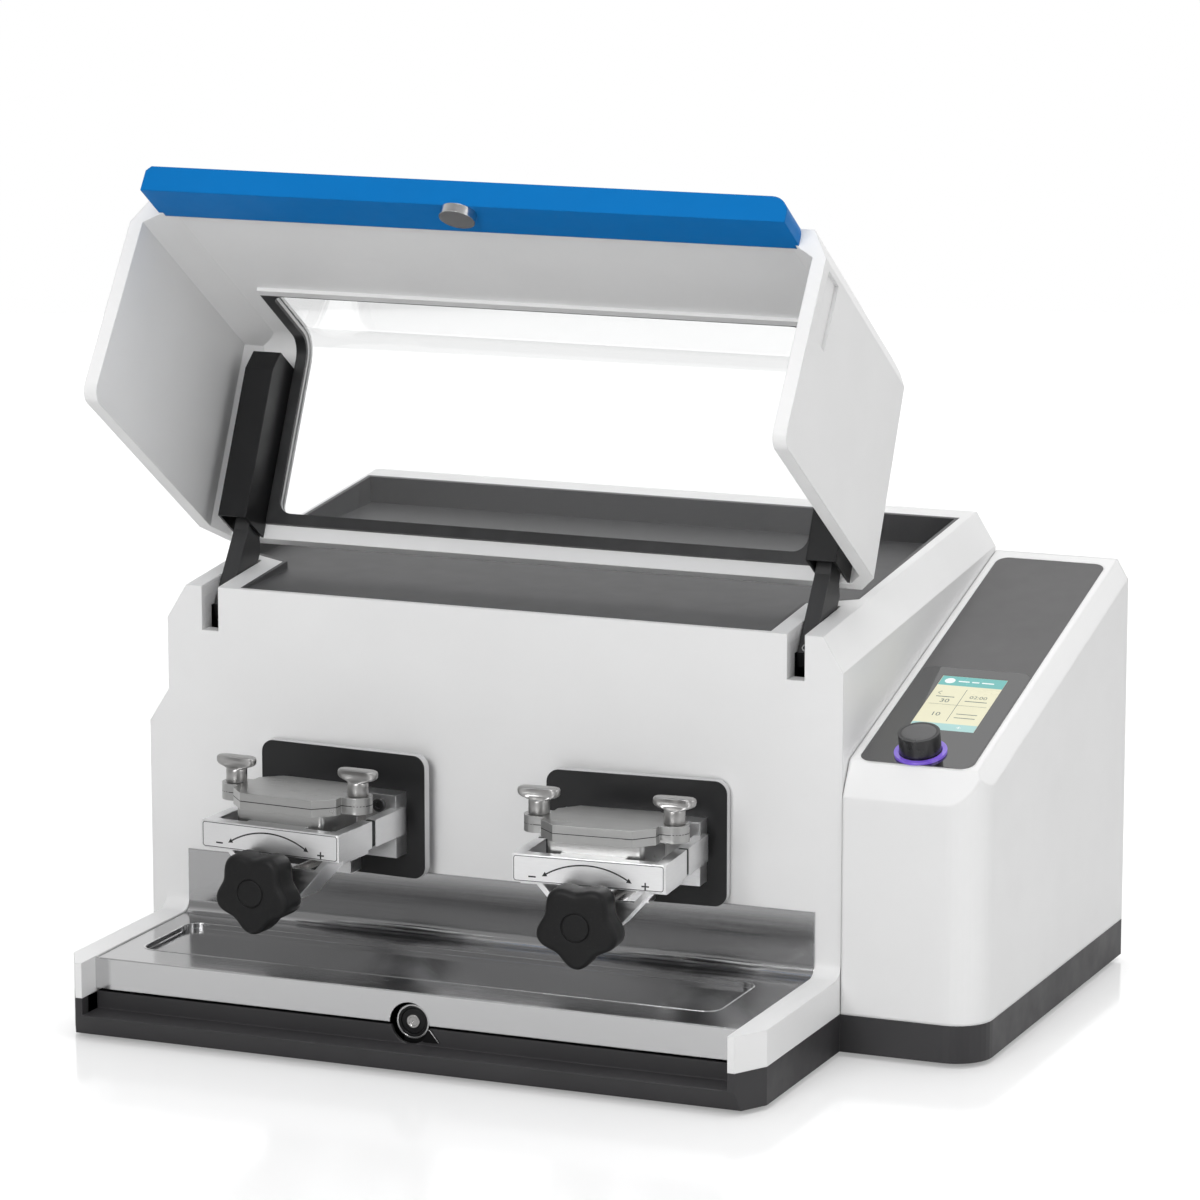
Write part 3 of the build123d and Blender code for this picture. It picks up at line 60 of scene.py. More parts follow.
# How far the eased normal may turn from the flat one before an edge is made paler, partly as rubbed wear and
# partly as a painted highlight.
PALE_EDGE_TURN, FLAT_TURN = 0.72, 0.97
PATCH_SCALE = 120.0
PATCH_LEAST = 0.25
PATCH_START, PATCH_END = 0.35, 0.6
BLACK_GLASS_IOR = 1.8
PANE_IOR = 1.46
PANE_TINT_SCALE, PANE_TINT = 9.0, 0.985
PANE_HAZE_SCALE, PANE_HAZE = 25.0, 0.02
UNLIT_SHARE, UNLIT_ROUGH = 0.22, 0.25
BACKLIGHT_SCALE, BACKLIGHT_DIM = 40.0, 0.93


def joined(tree, kind, **values):
    """Adds a shader node and sets its plain properties."""
    node = tree.nodes.new(kind)
    for key, value in values.items():
        setattr(node, key, value)
    return node


def fresh(name):
    """A new material with its node tree and its shader."""
    material = bpy.data.materials.new(name)
    material.use_nodes = True
    return material, material.node_tree, material.node_tree.nodes[BSDF]


def in_model(tree):
    """The point that is shaded, in the model's frame."""
    return joined(tree, "ShaderNodeTexCoord").outputs["Object"]


def product(tree, first, second):
    """Two values multiplied."""
    node = joined(tree, "ShaderNodeMath", operation="MULTIPLY")
    tree.links.new(first, node.inputs[0])
    tree.links.new(second, node.inputs[1])
    return node.outputs["Value"]


def noise(tree, vector, scale, detail=3.0, rough=0.5):
    """A noise value between 0 and 1; scale counts its features in a metre."""
    node = joined(tree, "ShaderNodeTexNoise")
    node.inputs["Scale"].default_value = scale
    node.inputs["Detail"].default_value = detail
    node.inputs["Roughness"].default_value = rough
    tree.links.new(vector, node.inputs["Vector"])
    return node.outputs["Fac"]


def spread(tree, value, low, high, start=0.3, end=0.7):
    """Maps start to end onto low to high, and holds the value past both ends."""
    node = joined(tree, "ShaderNodeMapRange")
    node.inputs["From Min"].default_value = start
    node.inputs["From Max"].default_value = end
    node.inputs["To Min"].default_value = low
    node.inputs["To Max"].default_value = high
    tree.links.new(value, node.inputs["Value"])
    return node.outputs["Result"]


def mixed(tree, factor, first, second):
    """Mixes two colours by a factor from the tree; each is a tuple or comes from the tree too."""
    node = joined(tree, "ShaderNodeMix", data_type="RGBA")
    tree.links.new(factor, node.inputs[0])
    for place, value in ((6, first), (7, second)):
        if isinstance(value, tuple):
            node.inputs[place].default_value = (*value, 1.0)
        else:
            tree.links.new(value, node.inputs[place])
    return node.outputs[2]


def shade(colour, factor):
    """A colour made darker or lighter by a factor."""
    return tuple(min(1.0, part * factor) for part in colour)


def surface(
    name,
    colour,
    rough,
    metallic=0.0,
    mottle=0.04,
    mottle_scale=14.0,
    rough_spread=0.05,
    rough_scale=45.0,
    grain=0.1,
    grain_scale=1200.0,
    grain_depth=0.00005,
    stretch=(1.0, 1.0, 1.0),
    speckle=0.0,
    speckle_colour=(0.3, 0.3, 0.3),
    bevel=0.0006,
    edge_wear_and_highlight=0.0,
    edge_wear_and_highlight_colour=(0.9, 0.9, 0.9),
    specular=0.5,
    coat=0.0,
    coat_rough=0.05,
):
    """A finish with mottled colour, uneven gloss, fine grain, eased edges, and paler edges that are partly
    rubbed wear and partly a painted highlight.
    """
    material, tree, shader = fresh(name)
    place = in_model(tree)
    stretched = joined(tree, "ShaderNodeMapping")
    stretched.inputs["Scale"].default_value = stretch
    tree.links.new(place, stretched.inputs["Vector"])
    fine = stretched.outputs["Vector"]
    tint = spread(tree, noise(tree, place, mottle_scale, 4.0), 0.0, 1.0)
    base = mixed(tree, tint, shade(colour, 1.0 - mottle), shade(colour, 1.0 + mottle))
    if max(stretch) / min(stretch) > STREAK_RATIO:
        lines = spread(tree, noise(tree, fine, grain_scale, FINE_DETAIL, FINE_ROUGH), 0.0, 1.0)
        base = mixed(tree, lines, base, shade(colour, 1.0 - STREAK_DEPTH * mottle))
    if speckle > 0.0:
        dots = noise(tree, place, grain_scale * SPECK_SCALE, 1.0)
        share = spread(tree, dots, 0.0, speckle, SPECK_START, SPECK_END)
        base = mixed(tree, share, base, speckle_colour)
    rounded = joined(tree, "ShaderNodeBevel", samples=4)
    rounded.inputs["Radius"].default_value = bevel
    # Paler eased edges: partly rubbed wear, partly a painted highlight.
    if edge_wear_and_highlight > 0.0:
        true_normal = joined(tree, "ShaderNodeNewGeometry").outputs["Normal"]
        facing = joined(tree, "ShaderNodeVectorMath", operation="DOT_PRODUCT")
        tree.links.new(rounded.outputs["Normal"], facing.inputs[0])
        tree.links.new(true_normal, facing.inputs[1])
        edge = spread(tree, facing.outputs["Value"], edge_wear_and_highlight, 0.0, PALE_EDGE_TURN, FLAT_TURN)
        patch = spread(tree, noise(tree, place, PATCH_SCALE), PATCH_LEAST, 1.0, PATCH_START, PATCH_END)
        base = mixed(tree, product(tree, edge, patch), base, edge_wear_and_highlight_colour)
    tree.links.new(base, shader.inputs["Base Color"])
    smoothest = max(LEAST_ROUGH, rough - rough_spread)
    gloss = spread(tree, noise(tree, fine, rough_scale), smoothest, rough + rough_spread)
    tree.links.new(gloss, shader.inputs["Roughness"])
    bump = joined(tree, "ShaderNodeBump")
    bump.inputs["Strength"].default_value = grain
    bump.inputs["Distance"].default_value = grain_depth
    tree.links.new(noise(tree, fine, grain_scale, FINE_DETAIL, FINE_ROUGH), bump.inputs["Height"])
    tree.links.new(rounded.outputs["Normal"], bump.inputs["Normal"])
    tree.links.new(bump.outputs["Normal"], shader.inputs["Normal"])
    shader.inputs["Metallic"].default_value = metallic
    shader.inputs["Specular IOR Level"].default_value = specular
    shader.inputs["Coat Weight"].default_value = coat
    shader.inputs["Coat Roughness"].default_value = coat_rough
    return material


def glowing(material, colour, strength):
    """Adds light of one colour to a finish."""
    shader = material.node_tree.nodes[BSDF]
    shader.inputs["Emission Color"].default_value = (*colour, 1.0)
    shader.inputs["Emission Strength"].default_value = strength
    return material


white = surface(
    "moulded_white", (0.79, 0.79, 0.79), 0.42, mottle=0.012, grain=0.06, grain_scale=900.0,
    bevel=0.0012, edge_wear_and_highlight=0.25, edge_wear_and_highlight_colour=(0.9, 0.9, 0.9),
)
tower_white = surface(
    "tower_white", (0.79, 0.79, 0.79), 0.42, mottle=0.012, grain=0.06, grain_scale=900.0,
    bevel=0.0035, edge_wear_and_highlight=0.25, edge_wear_and_highlight_colour=(0.9, 0.9, 0.9),
)
charcoal = surface(
    "charcoal_plastic", (0.034, 0.033, 0.035), 0.46, mottle=0.08, grain=0.25, grain_scale=1600.0,
    bevel=0.0012, edge_wear_and_highlight=0.3, edge_wear_and_highlight_colour=(0.14, 0.14, 0.145), specular=0.4,
)
shelf_grey = surface(
    "shelf_grey", (0.066, 0.066, 0.068), 0.5, mottle=0.018, mottle_scale=5.0, rough_spread=0.02,
    grain=0.3, grain_scale=1800.0, speckle=0.2, speckle_colour=(0.12, 0.12, 0.124), bevel=0.001,
)
panel_grey = surface(
    "panel_grey", (0.078, 0.077, 0.078), 0.36, mottle=0.05, grain=0.2, grain_scale=2000.0,
    speckle=0.15, speckle_colour=(0.12, 0.12, 0.12), bevel=0.0008,
)
black = surface(
    "black_plastic", (0.014, 0.014, 0.015), 0.42, mottle=0.1, grain=0.3, grain_scale=1500.0,
    bevel=0.0006, edge_wear_and_highlight=0.4, edge_wear_and_highlight_colour=(0.06, 0.06, 0.062),
)
knob_black = surface(
    "matt_black", (0.006, 0.006, 0.0063), 0.5, mottle=0.12, grain=0.5, grain_scale=1300.0,
    speckle=0.3, speckle_colour=(0.03, 0.03, 0.03), bevel=0.0008, specular=0.26,
)
cover_black = surface(
    "satin_black", (0.006, 0.006, 0.0066), 0.33, mottle=0.1, mottle_scale=30.0, rough_spread=0.03,
    grain=0.12, bevel=0.0014, edge_wear_and_highlight=0.3, edge_wear_and_highlight_colour=(0.05, 0.05, 0.05), specular=0.3,
)
plate_black = surface(
    "coated_black", (0.010, 0.010, 0.0108), 0.44, mottle=0.1, grain=0.3, grain_scale=2200.0,
    bevel=0.0008, edge_wear_and_highlight=0.45, edge_wear_and_highlight_colour=(0.07, 0.07, 0.07), specular=0.4,
)
arm_black = surface(
    "painted_arm", (0.027, 0.027, 0.028), 0.48, mottle=0.08, grain=0.25, grain_scale=1600.0,
    bevel=0.0008, edge_wear_and_highlight=0.4, edge_wear_and_highlight_colour=(0.12, 0.12, 0.12),
)
dial_black = surface(
    "dial_black", (0.012, 0.012, 0.013), 0.3, mottle=0.1, rough_spread=0.04, grain=0.1, bevel=0.0016,
    edge_wear_and_highlight=0.3, edge_wear_and_highlight_colour=(0.07, 0.07, 0.075), coat=0.2, coat_rough=0.2,
)
dial_grey = surface(
    "dial_grey", (0.12, 0.12, 0.122), 0.3, metallic=0.7, mottle=0.06, rough_spread=0.04, grain=0.1,
    bevel=0.0004,
)
glass_black = surface(
    "black_glass", (0.004, 0.004, 0.005), 0.05, mottle=0.2, rough_spread=0.015, rough_scale=12.0,
    grain=0.0, bevel=0.0003, specular=1.0,
)
glass_black.node_tree.nodes[BSDF].inputs["IOR"].default_value = BLACK_GLASS_IOR
blue = surface(
    "blue_handle", (0.002, 0.150, 0.445), 0.42, mottle=0.03, grain=0.12, grain_scale=1400.0,
    bevel=0.0016, edge_wear_and_highlight=0.3, edge_wear_and_highlight_colour=(0.02, 0.24, 0.62), specular=0.08,
)
latch_black = surface(
    "latch_black", (0.004, 0.004, 0.0045), 0.55, mottle=0.15, grain=0.3, bevel=0.0005, specular=0.15,
)
rubber = surface(
    "black_rubber", (0.012, 0.012, 0.013), 0.62, mottle=0.15, grain=0.5, grain_scale=1100.0, bevel=0.0006,
)
seal_rubber = surface(
    "seal_rubber", (0.02, 0.02, 0.021), 0.34, mottle=0.2, mottle_scale=60.0, grain=0.3, bevel=0.0008,
    edge_wear_and_highlight=0.3, edge_wear_and_highlight_colour=(0.14, 0.14, 0.14),
)
brushed = surface(
    "brushed_stainless", (0.50, 0.50, 0.505), 0.15, metallic=1.0, mottle=0.015, rough_spread=0.025,
    rough_scale=900.0, grain=0.08, grain_scale=2600.0, grain_depth=0.00003, stretch=(0.012, 1.0, 1.0),
    bevel=0.0008,
)
bent_steel = surface(
    "bent_steel", (0.66, 0.66, 0.66), 0.22, metallic=1.0, mottle=0.06, rough_spread=0.06,
    grain=0.2, grain_scale=700.0, stretch=(0.2, 1.0, 1.0), bevel=0.0006,
)
jar_steel = surface(
    "jar_steel", (0.43, 0.43, 0.425), 0.3, metallic=1.0, mottle=0.02, rough_spread=0.03, rough_scale=200.0,
    grain=0.12, grain_scale=1500.0, grain_depth=0.00003, stretch=(0.06, 1.0, 1.0), bevel=0.0006,
    edge_wear_and_highlight=0.7, edge_wear_and_highlight_colour=(0.75, 0.75, 0.75),
)
turned = surface(
    "turned_steel", (0.50, 0.49, 0.48), 0.2, metallic=1.0, mottle=0.06, rough_spread=0.06,
    grain=0.15, grain_scale=900.0, stretch=(1.0, 1.0, 0.08), bevel=0.0005,
    edge_wear_and_highlight=0.5, edge_wear_and_highlight_colour=(0.8, 0.8, 0.8),
)
polished = surface(
    "polished_steel", (0.40, 0.395, 0.39), 0.33, metallic=1.0, mottle=0.03, rough_spread=0.03,
    rough_scale=120.0, grain=0.08, grain_scale=700.0, bevel=0.0006, edge_wear_and_highlight=0.3, edge_wear_and_highlight_colour=(0.85, 0.85, 0.85),
)
dark_steel = surface(
    "blackened_steel", (0.12, 0.12, 0.122), 0.34, metallic=0.9, mottle=0.12, mottle_scale=90.0,
    grain=0.3, bevel=0.0005, edge_wear_and_highlight=0.6, edge_wear_and_highlight_colour=(0.45, 0.45, 0.45),
)
aluminium = surface(
    "machined_aluminium", (0.88, 0.88, 0.885), 0.36, metallic=1.0, mottle=0.015, rough_spread=0.05,
    rough_scale=300.0, grain=0.15, grain_scale=1200.0, stretch=(0.1, 0.1, 1.0), bevel=0.0006,
    edge_wear_and_highlight=0.6, edge_wear_and_highlight_colour=(0.97, 0.97, 0.97),
)
iron = surface(
    "cast_iron", (0.13, 0.13, 0.135), 0.55, metallic=0.6, mottle=0.18, mottle_scale=60.0, grain=0.7,
    grain_scale=500.0, grain_depth=0.0002, bevel=0.001, edge_wear_and_highlight=0.4, edge_wear_and_highlight_colour=(0.35, 0.35, 0.35),
)
zinc = surface(
    "zinc_sheet", (0.52, 0.53, 0.54), 0.4, metallic=0.9, mottle=0.12, mottle_scale=35.0,
    rough_spread=0.1, grain=0.1, bevel=0.0005,
)
rear_paint = surface(
    "rear_paint", (0.60, 0.60, 0.605), 0.5, mottle=0.02, grain=0.35, grain_scale=1000.0,
    bevel=0.0006, edge_wear_and_highlight=0.25, edge_wear_and_highlight_colour=(0.75, 0.75, 0.75),
)
motor_paint = surface(
    "motor_paint", (0.05, 0.055, 0.065), 0.48, mottle=0.1, grain=0.4, grain_scale=900.0, bevel=0.0008,
    edge_wear_and_highlight=0.5, edge_wear_and_highlight_colour=(0.3, 0.3, 0.3),
)
board = surface(
    "board_green", (0.01, 0.11, 0.05), 0.32, mottle=0.2, mottle_scale=180.0, grain=0.2,
    speckle=0.5, speckle_colour=(0.5, 0.42, 0.2), bevel=0.0002,
)
ring_light = glowing(
    surface(
        "ring_light", (0.13, 0.07, 0.38), 0.2, mottle=0.25, mottle_scale=70.0, rough_spread=0.1,
        grain=0.1, bevel=0.0007, coat=0.8,
    ),
    (0.17, 0.09, 0.62), 0.5,
)


def pale_past(material, axis, start, end, colour):
    """Paints the part of a finish past a plane in the model, over a short blend."""
    tree = material.node_tree
    shader = tree.nodes[BSDF]
    parts = joined(tree, "ShaderNodeSeparateXYZ")
    tree.links.new(in_model(tree), parts.inputs[0])
    past = spread(tree, parts.outputs[axis], 0.0, 1.0, start, end)
    base = shader.inputs["Base Color"].links[0].from_socket
    tree.links.new(mixed(tree, past, base, colour), shader.inputs["Base Color"])


# In metres: the height past which the upper part of the window's seal is pale, and the
# depth past which the tray's front lip is painted pale, a painted highlight on the lip.
SEAL_EDGE = (0.5498, 0.5504)
TRAY_LIP_HIGHLIGHT = (-0.2505, -0.252)
pale_past(seal_rubber, "Z", *SEAL_EDGE, (0.76, 0.76, 0.76))
# Painted highlight: the tray's front lip gets a paler steel colour for the light it catches.
pale_past(brushed, "Y", *TRAY_LIP_HIGHLIGHT, (0.70, 0.70, 0.705))


def clear_pane(name, colour, rough):
    """Clear plastic with a faint haze that changes over the pane."""
    material, tree, shader = fresh(name)
    place = in_model(tree)
    tint = spread(tree, noise(tree, place, PANE_TINT_SCALE), 0.0, 1.0)
    tree.links.new(mixed(tree, tint, shade(colour, PANE_TINT), colour), shader.inputs["Base Color"])
    haze = spread(tree, noise(tree, place, PANE_HAZE_SCALE), rough, rough + PANE_HAZE)
    tree.links.new(haze, shader.inputs["Roughness"])
    shader.inputs["Transmission Weight"].default_value = 1.0
    shader.inputs["IOR"].default_value = PANE_IOR
    return material


pane = clear_pane("clear_polycarbonate", (0.945, 0.95, 0.95), 0.0)


def lit(name, colour, strength):
    """A lit display colour, a little uneven as backlights are."""
    unlit = shade(colour, UNLIT_SHARE)
    material = surface(name, unlit, UNLIT_ROUGH, mottle=0.05, grain=0.02, bevel=0.0001)
    tree = material.node_tree
    shader = tree.nodes[BSDF]
    tint = spread(tree, noise(tree, in_model(tree), BACKLIGHT_SCALE), 0.0, 1.0)
    dimmed = shade(colour, BACKLIGHT_DIM)
    tree.links.new(mixed(tree, tint, dimmed, colour), shader.inputs["Emission Color"])
    shader.inputs["Emission Strength"].default_value = strength
    return material


screen_body = lit("screen_body", (0.86, 0.83, 0.60), 0.72)
screen_teal = lit("screen_teal", (0.16, 0.50, 0.48), 0.75)
screen_pale = lit("screen_pale", (0.42, 0.68, 0.66), 0.75)
screen_white = lit("screen_white", (0.85, 0.92, 0.90), 0.8)
screen_ink = lit("screen_ink", (0.16, 0.22, 0.21), 0.5)
ink = surface(
    "printed_ink", (0.01, 0.01, 0.01), 0.5, mottle=0.2, mottle_scale=300.0, grain=0.05, bevel=0.0001,
)

finish_of = {
    "base_pan": charcoal,
    "rubber_feet": rubber,
    "main_housing": white,
    "tower_housing": tower_white,
    "rear_panel": rear_paint,
    "drip_tray": brushed,
    "top_shelf": shelf_grey,
    "control_panel": panel_grey,
    "control_glass": glass_black,
    "display_screen": screen_body,
    "dial_light_ring": ring_light,
    "dial_encoder": black,
    "chassis_plate": zinc,
    "shaft_bridge": zinc,
    "pivot_shafts": turned,
    "rocker_bearings": turned,
    "hinge_pins": turned,
    "drive_motor": motor_paint,
    "control_board": board,
    "power_supply": zinc,
    "power_inlet": black,
    "fan_frame": black,
    "latch_housing": cover_black,
    "lid_shell": white,
    "lid_window": pane,
    "window_seal": seal_rubber,
    "lid_handle": blue,
    "handle_striker": bent_steel,
    "hinge_arms": arm_black,
    "arm_covers": cover_black,
    "dial_shaft": turned,
    "dial_knob": dial_black,
    "latch_plunger": cover_black,
    "mains_switch": black,
    "fan_rotor": black,
    "motor_pinion": turned,
}
for hand in ("left", "right"):
    finish_of.update(
        {
            hand + "_rocker": iron,
            hand + "_swing_plate": plate_black,
            hand + "_rear_frame": aluminium,
            hand + "_rear_jaw": turned,
            hand + "_front_frame": aluminium,
            hand + "_cradle": aluminium,
            hand + "_spindle": turned,
            hand + "_star_knob": knob_black,
            hand + "_jar_body": jar_steel,
            hand + "_jar_lid": jar_steel,
            hand + "_outer_wing_screw": turned,
            hand + "_inner_wing_screw": turned,
        }
    )
for node_name, finish in finish_of.items():
    for slot in nodes[node_name].material_slots:
        slot.material = finish


# ---------------------------------------------------------------- frames and mesh helpers

# The right and up directions of places that face the front, the right side and the ceiling.
UPRIGHT = ((1, 0, 0), (0, 0, 1))
SIDEWAYS = ((0, 1, 0), (0, 0, 1))
LEVEL = ((1, 0, 0), (0, 1, 0))
# Degrees; edges sharper than this stay hard.
SMOOTH = 32.0
# Keeps the sharp corners of a grown outline from running far out.
LEAST_SHARE = 0.3
# Straight parts in each rounded corner of a bar.
BAR_STEPS = 3
LETTER_DEPTH = 0.02
# The head of a cap screw: its top's radius, its shoulder's height, and the socket's
# radius and floor, each as a share of the head.
SCREW_STEPS = 24
SCREW_EASE = 0.86
SCREW_SHOULDER = 0.85
SOCKET_SHARE = 0.5
SOCKET_FLOOR = 0.35


class Place:
    """A flat frame in the model: an origin in millimetres and three directions."""

    def __init__(self, origin, right, up):
        self.origin = Vector(origin)
        self.right = Vector(right).normalized()
        self.up = Vector(up).normalized()
        self.out = self.right.cross(self.up).normalized()

    def at(self, across, high, out=0.0):
        """The point in metres that lies at these millimetres on the place."""
        return (self.origin + self.right * across + self.up * high + self.out * out) * MM

    def sunk(self, out):
        """A like place, moved outward, or inward when the distance is negative."""
        return Place(self.origin + self.out * out, self.right, self.up)


def piece(name, mesh, finish, body):
    """Puts a mesh in the scene with its finish, on the body that carries it."""
    mesh.materials.append(finish)
    thing = bpy.data.objects.new(name, mesh)
    bpy.context.scene.collection.objects.link(thing)
    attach(thing, body)
    return thing


def solid(shape):
    """Turns a finished shape into a mesh with its faces outward."""
    mesh = bpy.data.meshes.new("shape")
    bmesh.ops.recalc_face_normals(shape, faces=shape.faces)
    shape.to_mesh(mesh)
    shape.free()
    return mesh


def softened(mesh, angle=SMOOTH):
    """Shades a mesh smooth, but for edges sharper than the angle in degrees."""
    mesh.shade_smooth()
    mesh.set_sharp_from_angle(angle=math.radians(angle))
    return mesh


@contextmanager
def shaped(name, finish, body, slot, angle=None):
    """Opens an empty shape, and puts what the block made of it in the scene."""
    shape = bmesh.new()
    yield shape
    mesh = solid(shape)
    if angle is not None:
        softened(mesh, angle)
    piece(name, mesh, finish, body)


def rounded_outline(box, corner, steps=5):
    """A rectangle (left, right, low, high) with rounded corners, anticlockwise."""
    left, right, low, high = box
    points = []
    for x, y, start in (
        (right - corner, high - corner, 0.0),
        (left + corner, high - corner, 90.0),
        (left + corner, low + corner, 180.0),
        (right - corner, low + corner, 270.0),
    ):
        for i in range(steps + 1):
            turn = math.radians(start + 90.0 * i / steps)
            points.append((x + corner * math.cos(turn), y + corner * math.sin(turn)))
    return points


def round_outline(x, y, radius, steps=48):
    """A circle of points, anticlockwise."""
    return [
        (x + radius * math.cos(2 * math.pi * i / steps), y + radius * math.sin(2 * math.pi * i / steps))
        for i in range(steps)
    ]


def joined_rings(shape, rows):
    """Skins the space between rings of corners that follow each other."""
    for first, second in zip(rows, rows[1:]):
        for i in range(len(first)):
            j = (i + 1) % len(first)
            shape.faces.new((first[i], first[j], second[j], second[i]))


def lofted(shape, rings):
    """Skins a row of equal rings of points and closes both ends."""
    rows = [[shape.verts.new(point) for point in ring] for ring in rings]
    joined_rings(shape, rows)
    shape.faces.new(rows[0][::-1])
    shape.faces.new(rows[-1])


def raised(shape, place, outline, low, high):
    """Adds a flat shape with the given outline between two heights above the place."""
    lofted(shape, [[place.at(x, y, out) for x, y in outline] for out in (low, high)])


def band(shape, place, outer, inner, low, high):
    """Adds a flat ring between two outlines of equal length."""
    rows = []
    for outline, out in ((inner, low), (outer, low), (outer, high), (inner, high)):
        rows.append([shape.verts.new(place.at(x, y, out)) for x, y in outline])
    joined_rings(shape, rows + rows[:1])


def washer(shape, place, outer, inner, low, high, steps):
    """Adds a round flat ring between two radii."""
    band(shape, place, round_outline(0, 0, outer, steps), round_outline(0, 0, inner, steps), low, high)


def turned_rings(place, profile, x=0.0, y=0.0, steps=48):
    """Circles of points, one for each (radius, height) pair of a profile."""
    return [
        [place.at(*spot, high) for spot in round_outline(x, y, radius, steps)] for radius, high in profile
    ]


def turned_form(shape, place, profile, x=0.0, y=0.0, steps=48):
    """Turns a profile of (radius, height) pairs about the place's outward direction."""
    lofted(shape, turned_rings(place, profile, x, y, steps))


def grown(outline, gap):
    """Moves an outline that runs anticlockwise outward by a gap."""
    moved = []
    count = len(outline)
    for i in range(count):
        before = Vector(outline[i - 1])
        point = Vector(outline[i])
        after = Vector(outline[(i + 1) % count])
        first = (point - before).normalized()
        second = (after - point).normalized()
        lean = Vector((first.y + second.y, -first.x - second.x))
        share = max(LEAST_SHARE, 1.0 + first.dot(second))
        moved.append(tuple(point + lean * gap / share))
    return moved


def bar(shape, place, box, bottom, top, corner):
    """Adds a flat rectangle with rounded corners between two heights above the place."""
    raised(shape, place, rounded_outline(box, corner, BAR_STEPS), bottom, top)


def stroke(shape, place, points, width, low, high):
    """Adds a raised line of even width along the points."""
    half = width / 2.0
    sides = ([], [])
    for i, point in enumerate(points):
        before = Vector(points[max(0, i - 1)])
        after = Vector(points[min(len(points) - 1, i + 1)])
        along = (after - before).normalized()
        across = Vector((-along.y, along.x)) * half
        sides[0].append(tuple(Vector(point) + across))
        sides[1].append(tuple(Vector(point) - across))
    raised(shape, place, sides[1] + sides[0][::-1], low, high)


def socket_screw(shape, place, x, y, radius, high):
    """Adds the head of a cap screw with a socket in it."""
    side = SCREW_STEPS // 6
    reach = radius * SOCKET_SHARE
    hollow = []
    for i in range(SCREW_STEPS):
        turn = i // side * math.pi / 3 + i % side * math.pi / (3 * side)
        hollow.append((x + reach * math.cos(turn), y + reach * math.sin(turn)))
    profile = ((radius, 0.0), (radius, high * SCREW_SHOULDER), (radius * SCREW_EASE, high))
    rings = turned_rings(place, profile, x, y, SCREW_STEPS)
    for out in (high, high * SOCKET_FLOOR):
        rings.append([place.at(*spot, out) for spot in hollow])
    lofted(shape, rings)


def lettering(name, text, place, x, y, size, finish, body, out):
    """Puts raised characters in the scene, centred on a spot of the place."""
    curve = bpy.data.curves.new(name, "FONT")
    curve.body = text
    curve.size = size * MM
    curve.align_x = "CENTER"
    curve.align_y = "CENTER"
    curve.extrude = LETTER_DEPTH * MM / 2
    curve.resolution_u = 3
    source = bpy.data.objects.new(name + "_source", curve)
    bpy.context.scene.collection.objects.link(source)
    mesh = bpy.data.meshes.new_from_object(source.evaluated_get(bpy.context.evaluated_depsgraph_get()))
    bpy.data.objects.remove(source)
    turn = Matrix((place.right, place.up, place.out)).transposed().to_4x4()
    turn.translation = place.at(x, y, out)
    mesh.transform(turn)
    mesh.materials.clear()
    piece(name, mesh, finish, body)


# ---------------------------------------------------------------- control panel

# Flat details are drawn on a place, in millimetres. A box is left, right, low and high there,
# a depth is its bottom and top above the place, and for boxes also the corner radius.
PANEL_SLOPE = (0.0, 0.95931, 0.28234)
panel = Place((238.0, -77.5, 230.4), (1, 0, 0), PANEL_SLOPE)
# Heights on the panel: the display's face, and the tops of what is drawn on it.
SCREEN = -0.28
FIELD_TOP = SCREEN + 0.05
SIGN_BASE = SCREEN + 0.07
MARK_TOP = SCREEN + 0.08
HEADER = (28.3, 80.7, 129.0, 143.7)
FOOTER = (28.3, 80.7, 57.3, 68.0)
RULES = ((53.9, 54.3, 72.0, 124.0), (31.0, 78.0, 98.0, 98.3))
TEXT_BARS = (
    (58.0, 75.0, 78.0, 78.9), (58.0, 75.0, 84.0, 84.9),
    (33.0, 48.0, 110.0, 111.0), (58.0, 76.0, 105.0, 106.0),
)
BACK_ARROW = ((35.5, 119.0), (33.0, 116.5), (35.5, 114.0))
BACK_ARROW_WIDTH = 0.6
HEADER_DOT = (36.0, 136.3, 4.2)
HEADER_BARS = ((43.0, 52.0, 135.4, 137.2), (54.0, 60.0, 135.4, 137.2), (62.0, 72.0, 135.4, 137.2))
FIELD_CORNER, RULE_CORNER, TEXT_CORNER, MARK_CORNER = 0.2, 0.1, 0.3, 0.5
# Each line of characters: name, text, middle across and up, size, finish, height.
CHARACTERS = (
    ("display_number_left", "30", 42.0, 104.0, 8.0, screen_ink, FIELD_TOP),
    ("display_number_right", "02:00", 67.0, 112.0, 6.5, screen_ink, FIELD_TOP),
    ("display_count", "10", 42.0, 82.0, 8.0, screen_ink, FIELD_TOP),
    ("display_minus", "-", 41.0, 62.6, 8.0, screen_white, SIGN_BASE),
    ("display_plus", "+", 67.0, 62.6, 8.0, screen_white, SIGN_BASE),
)

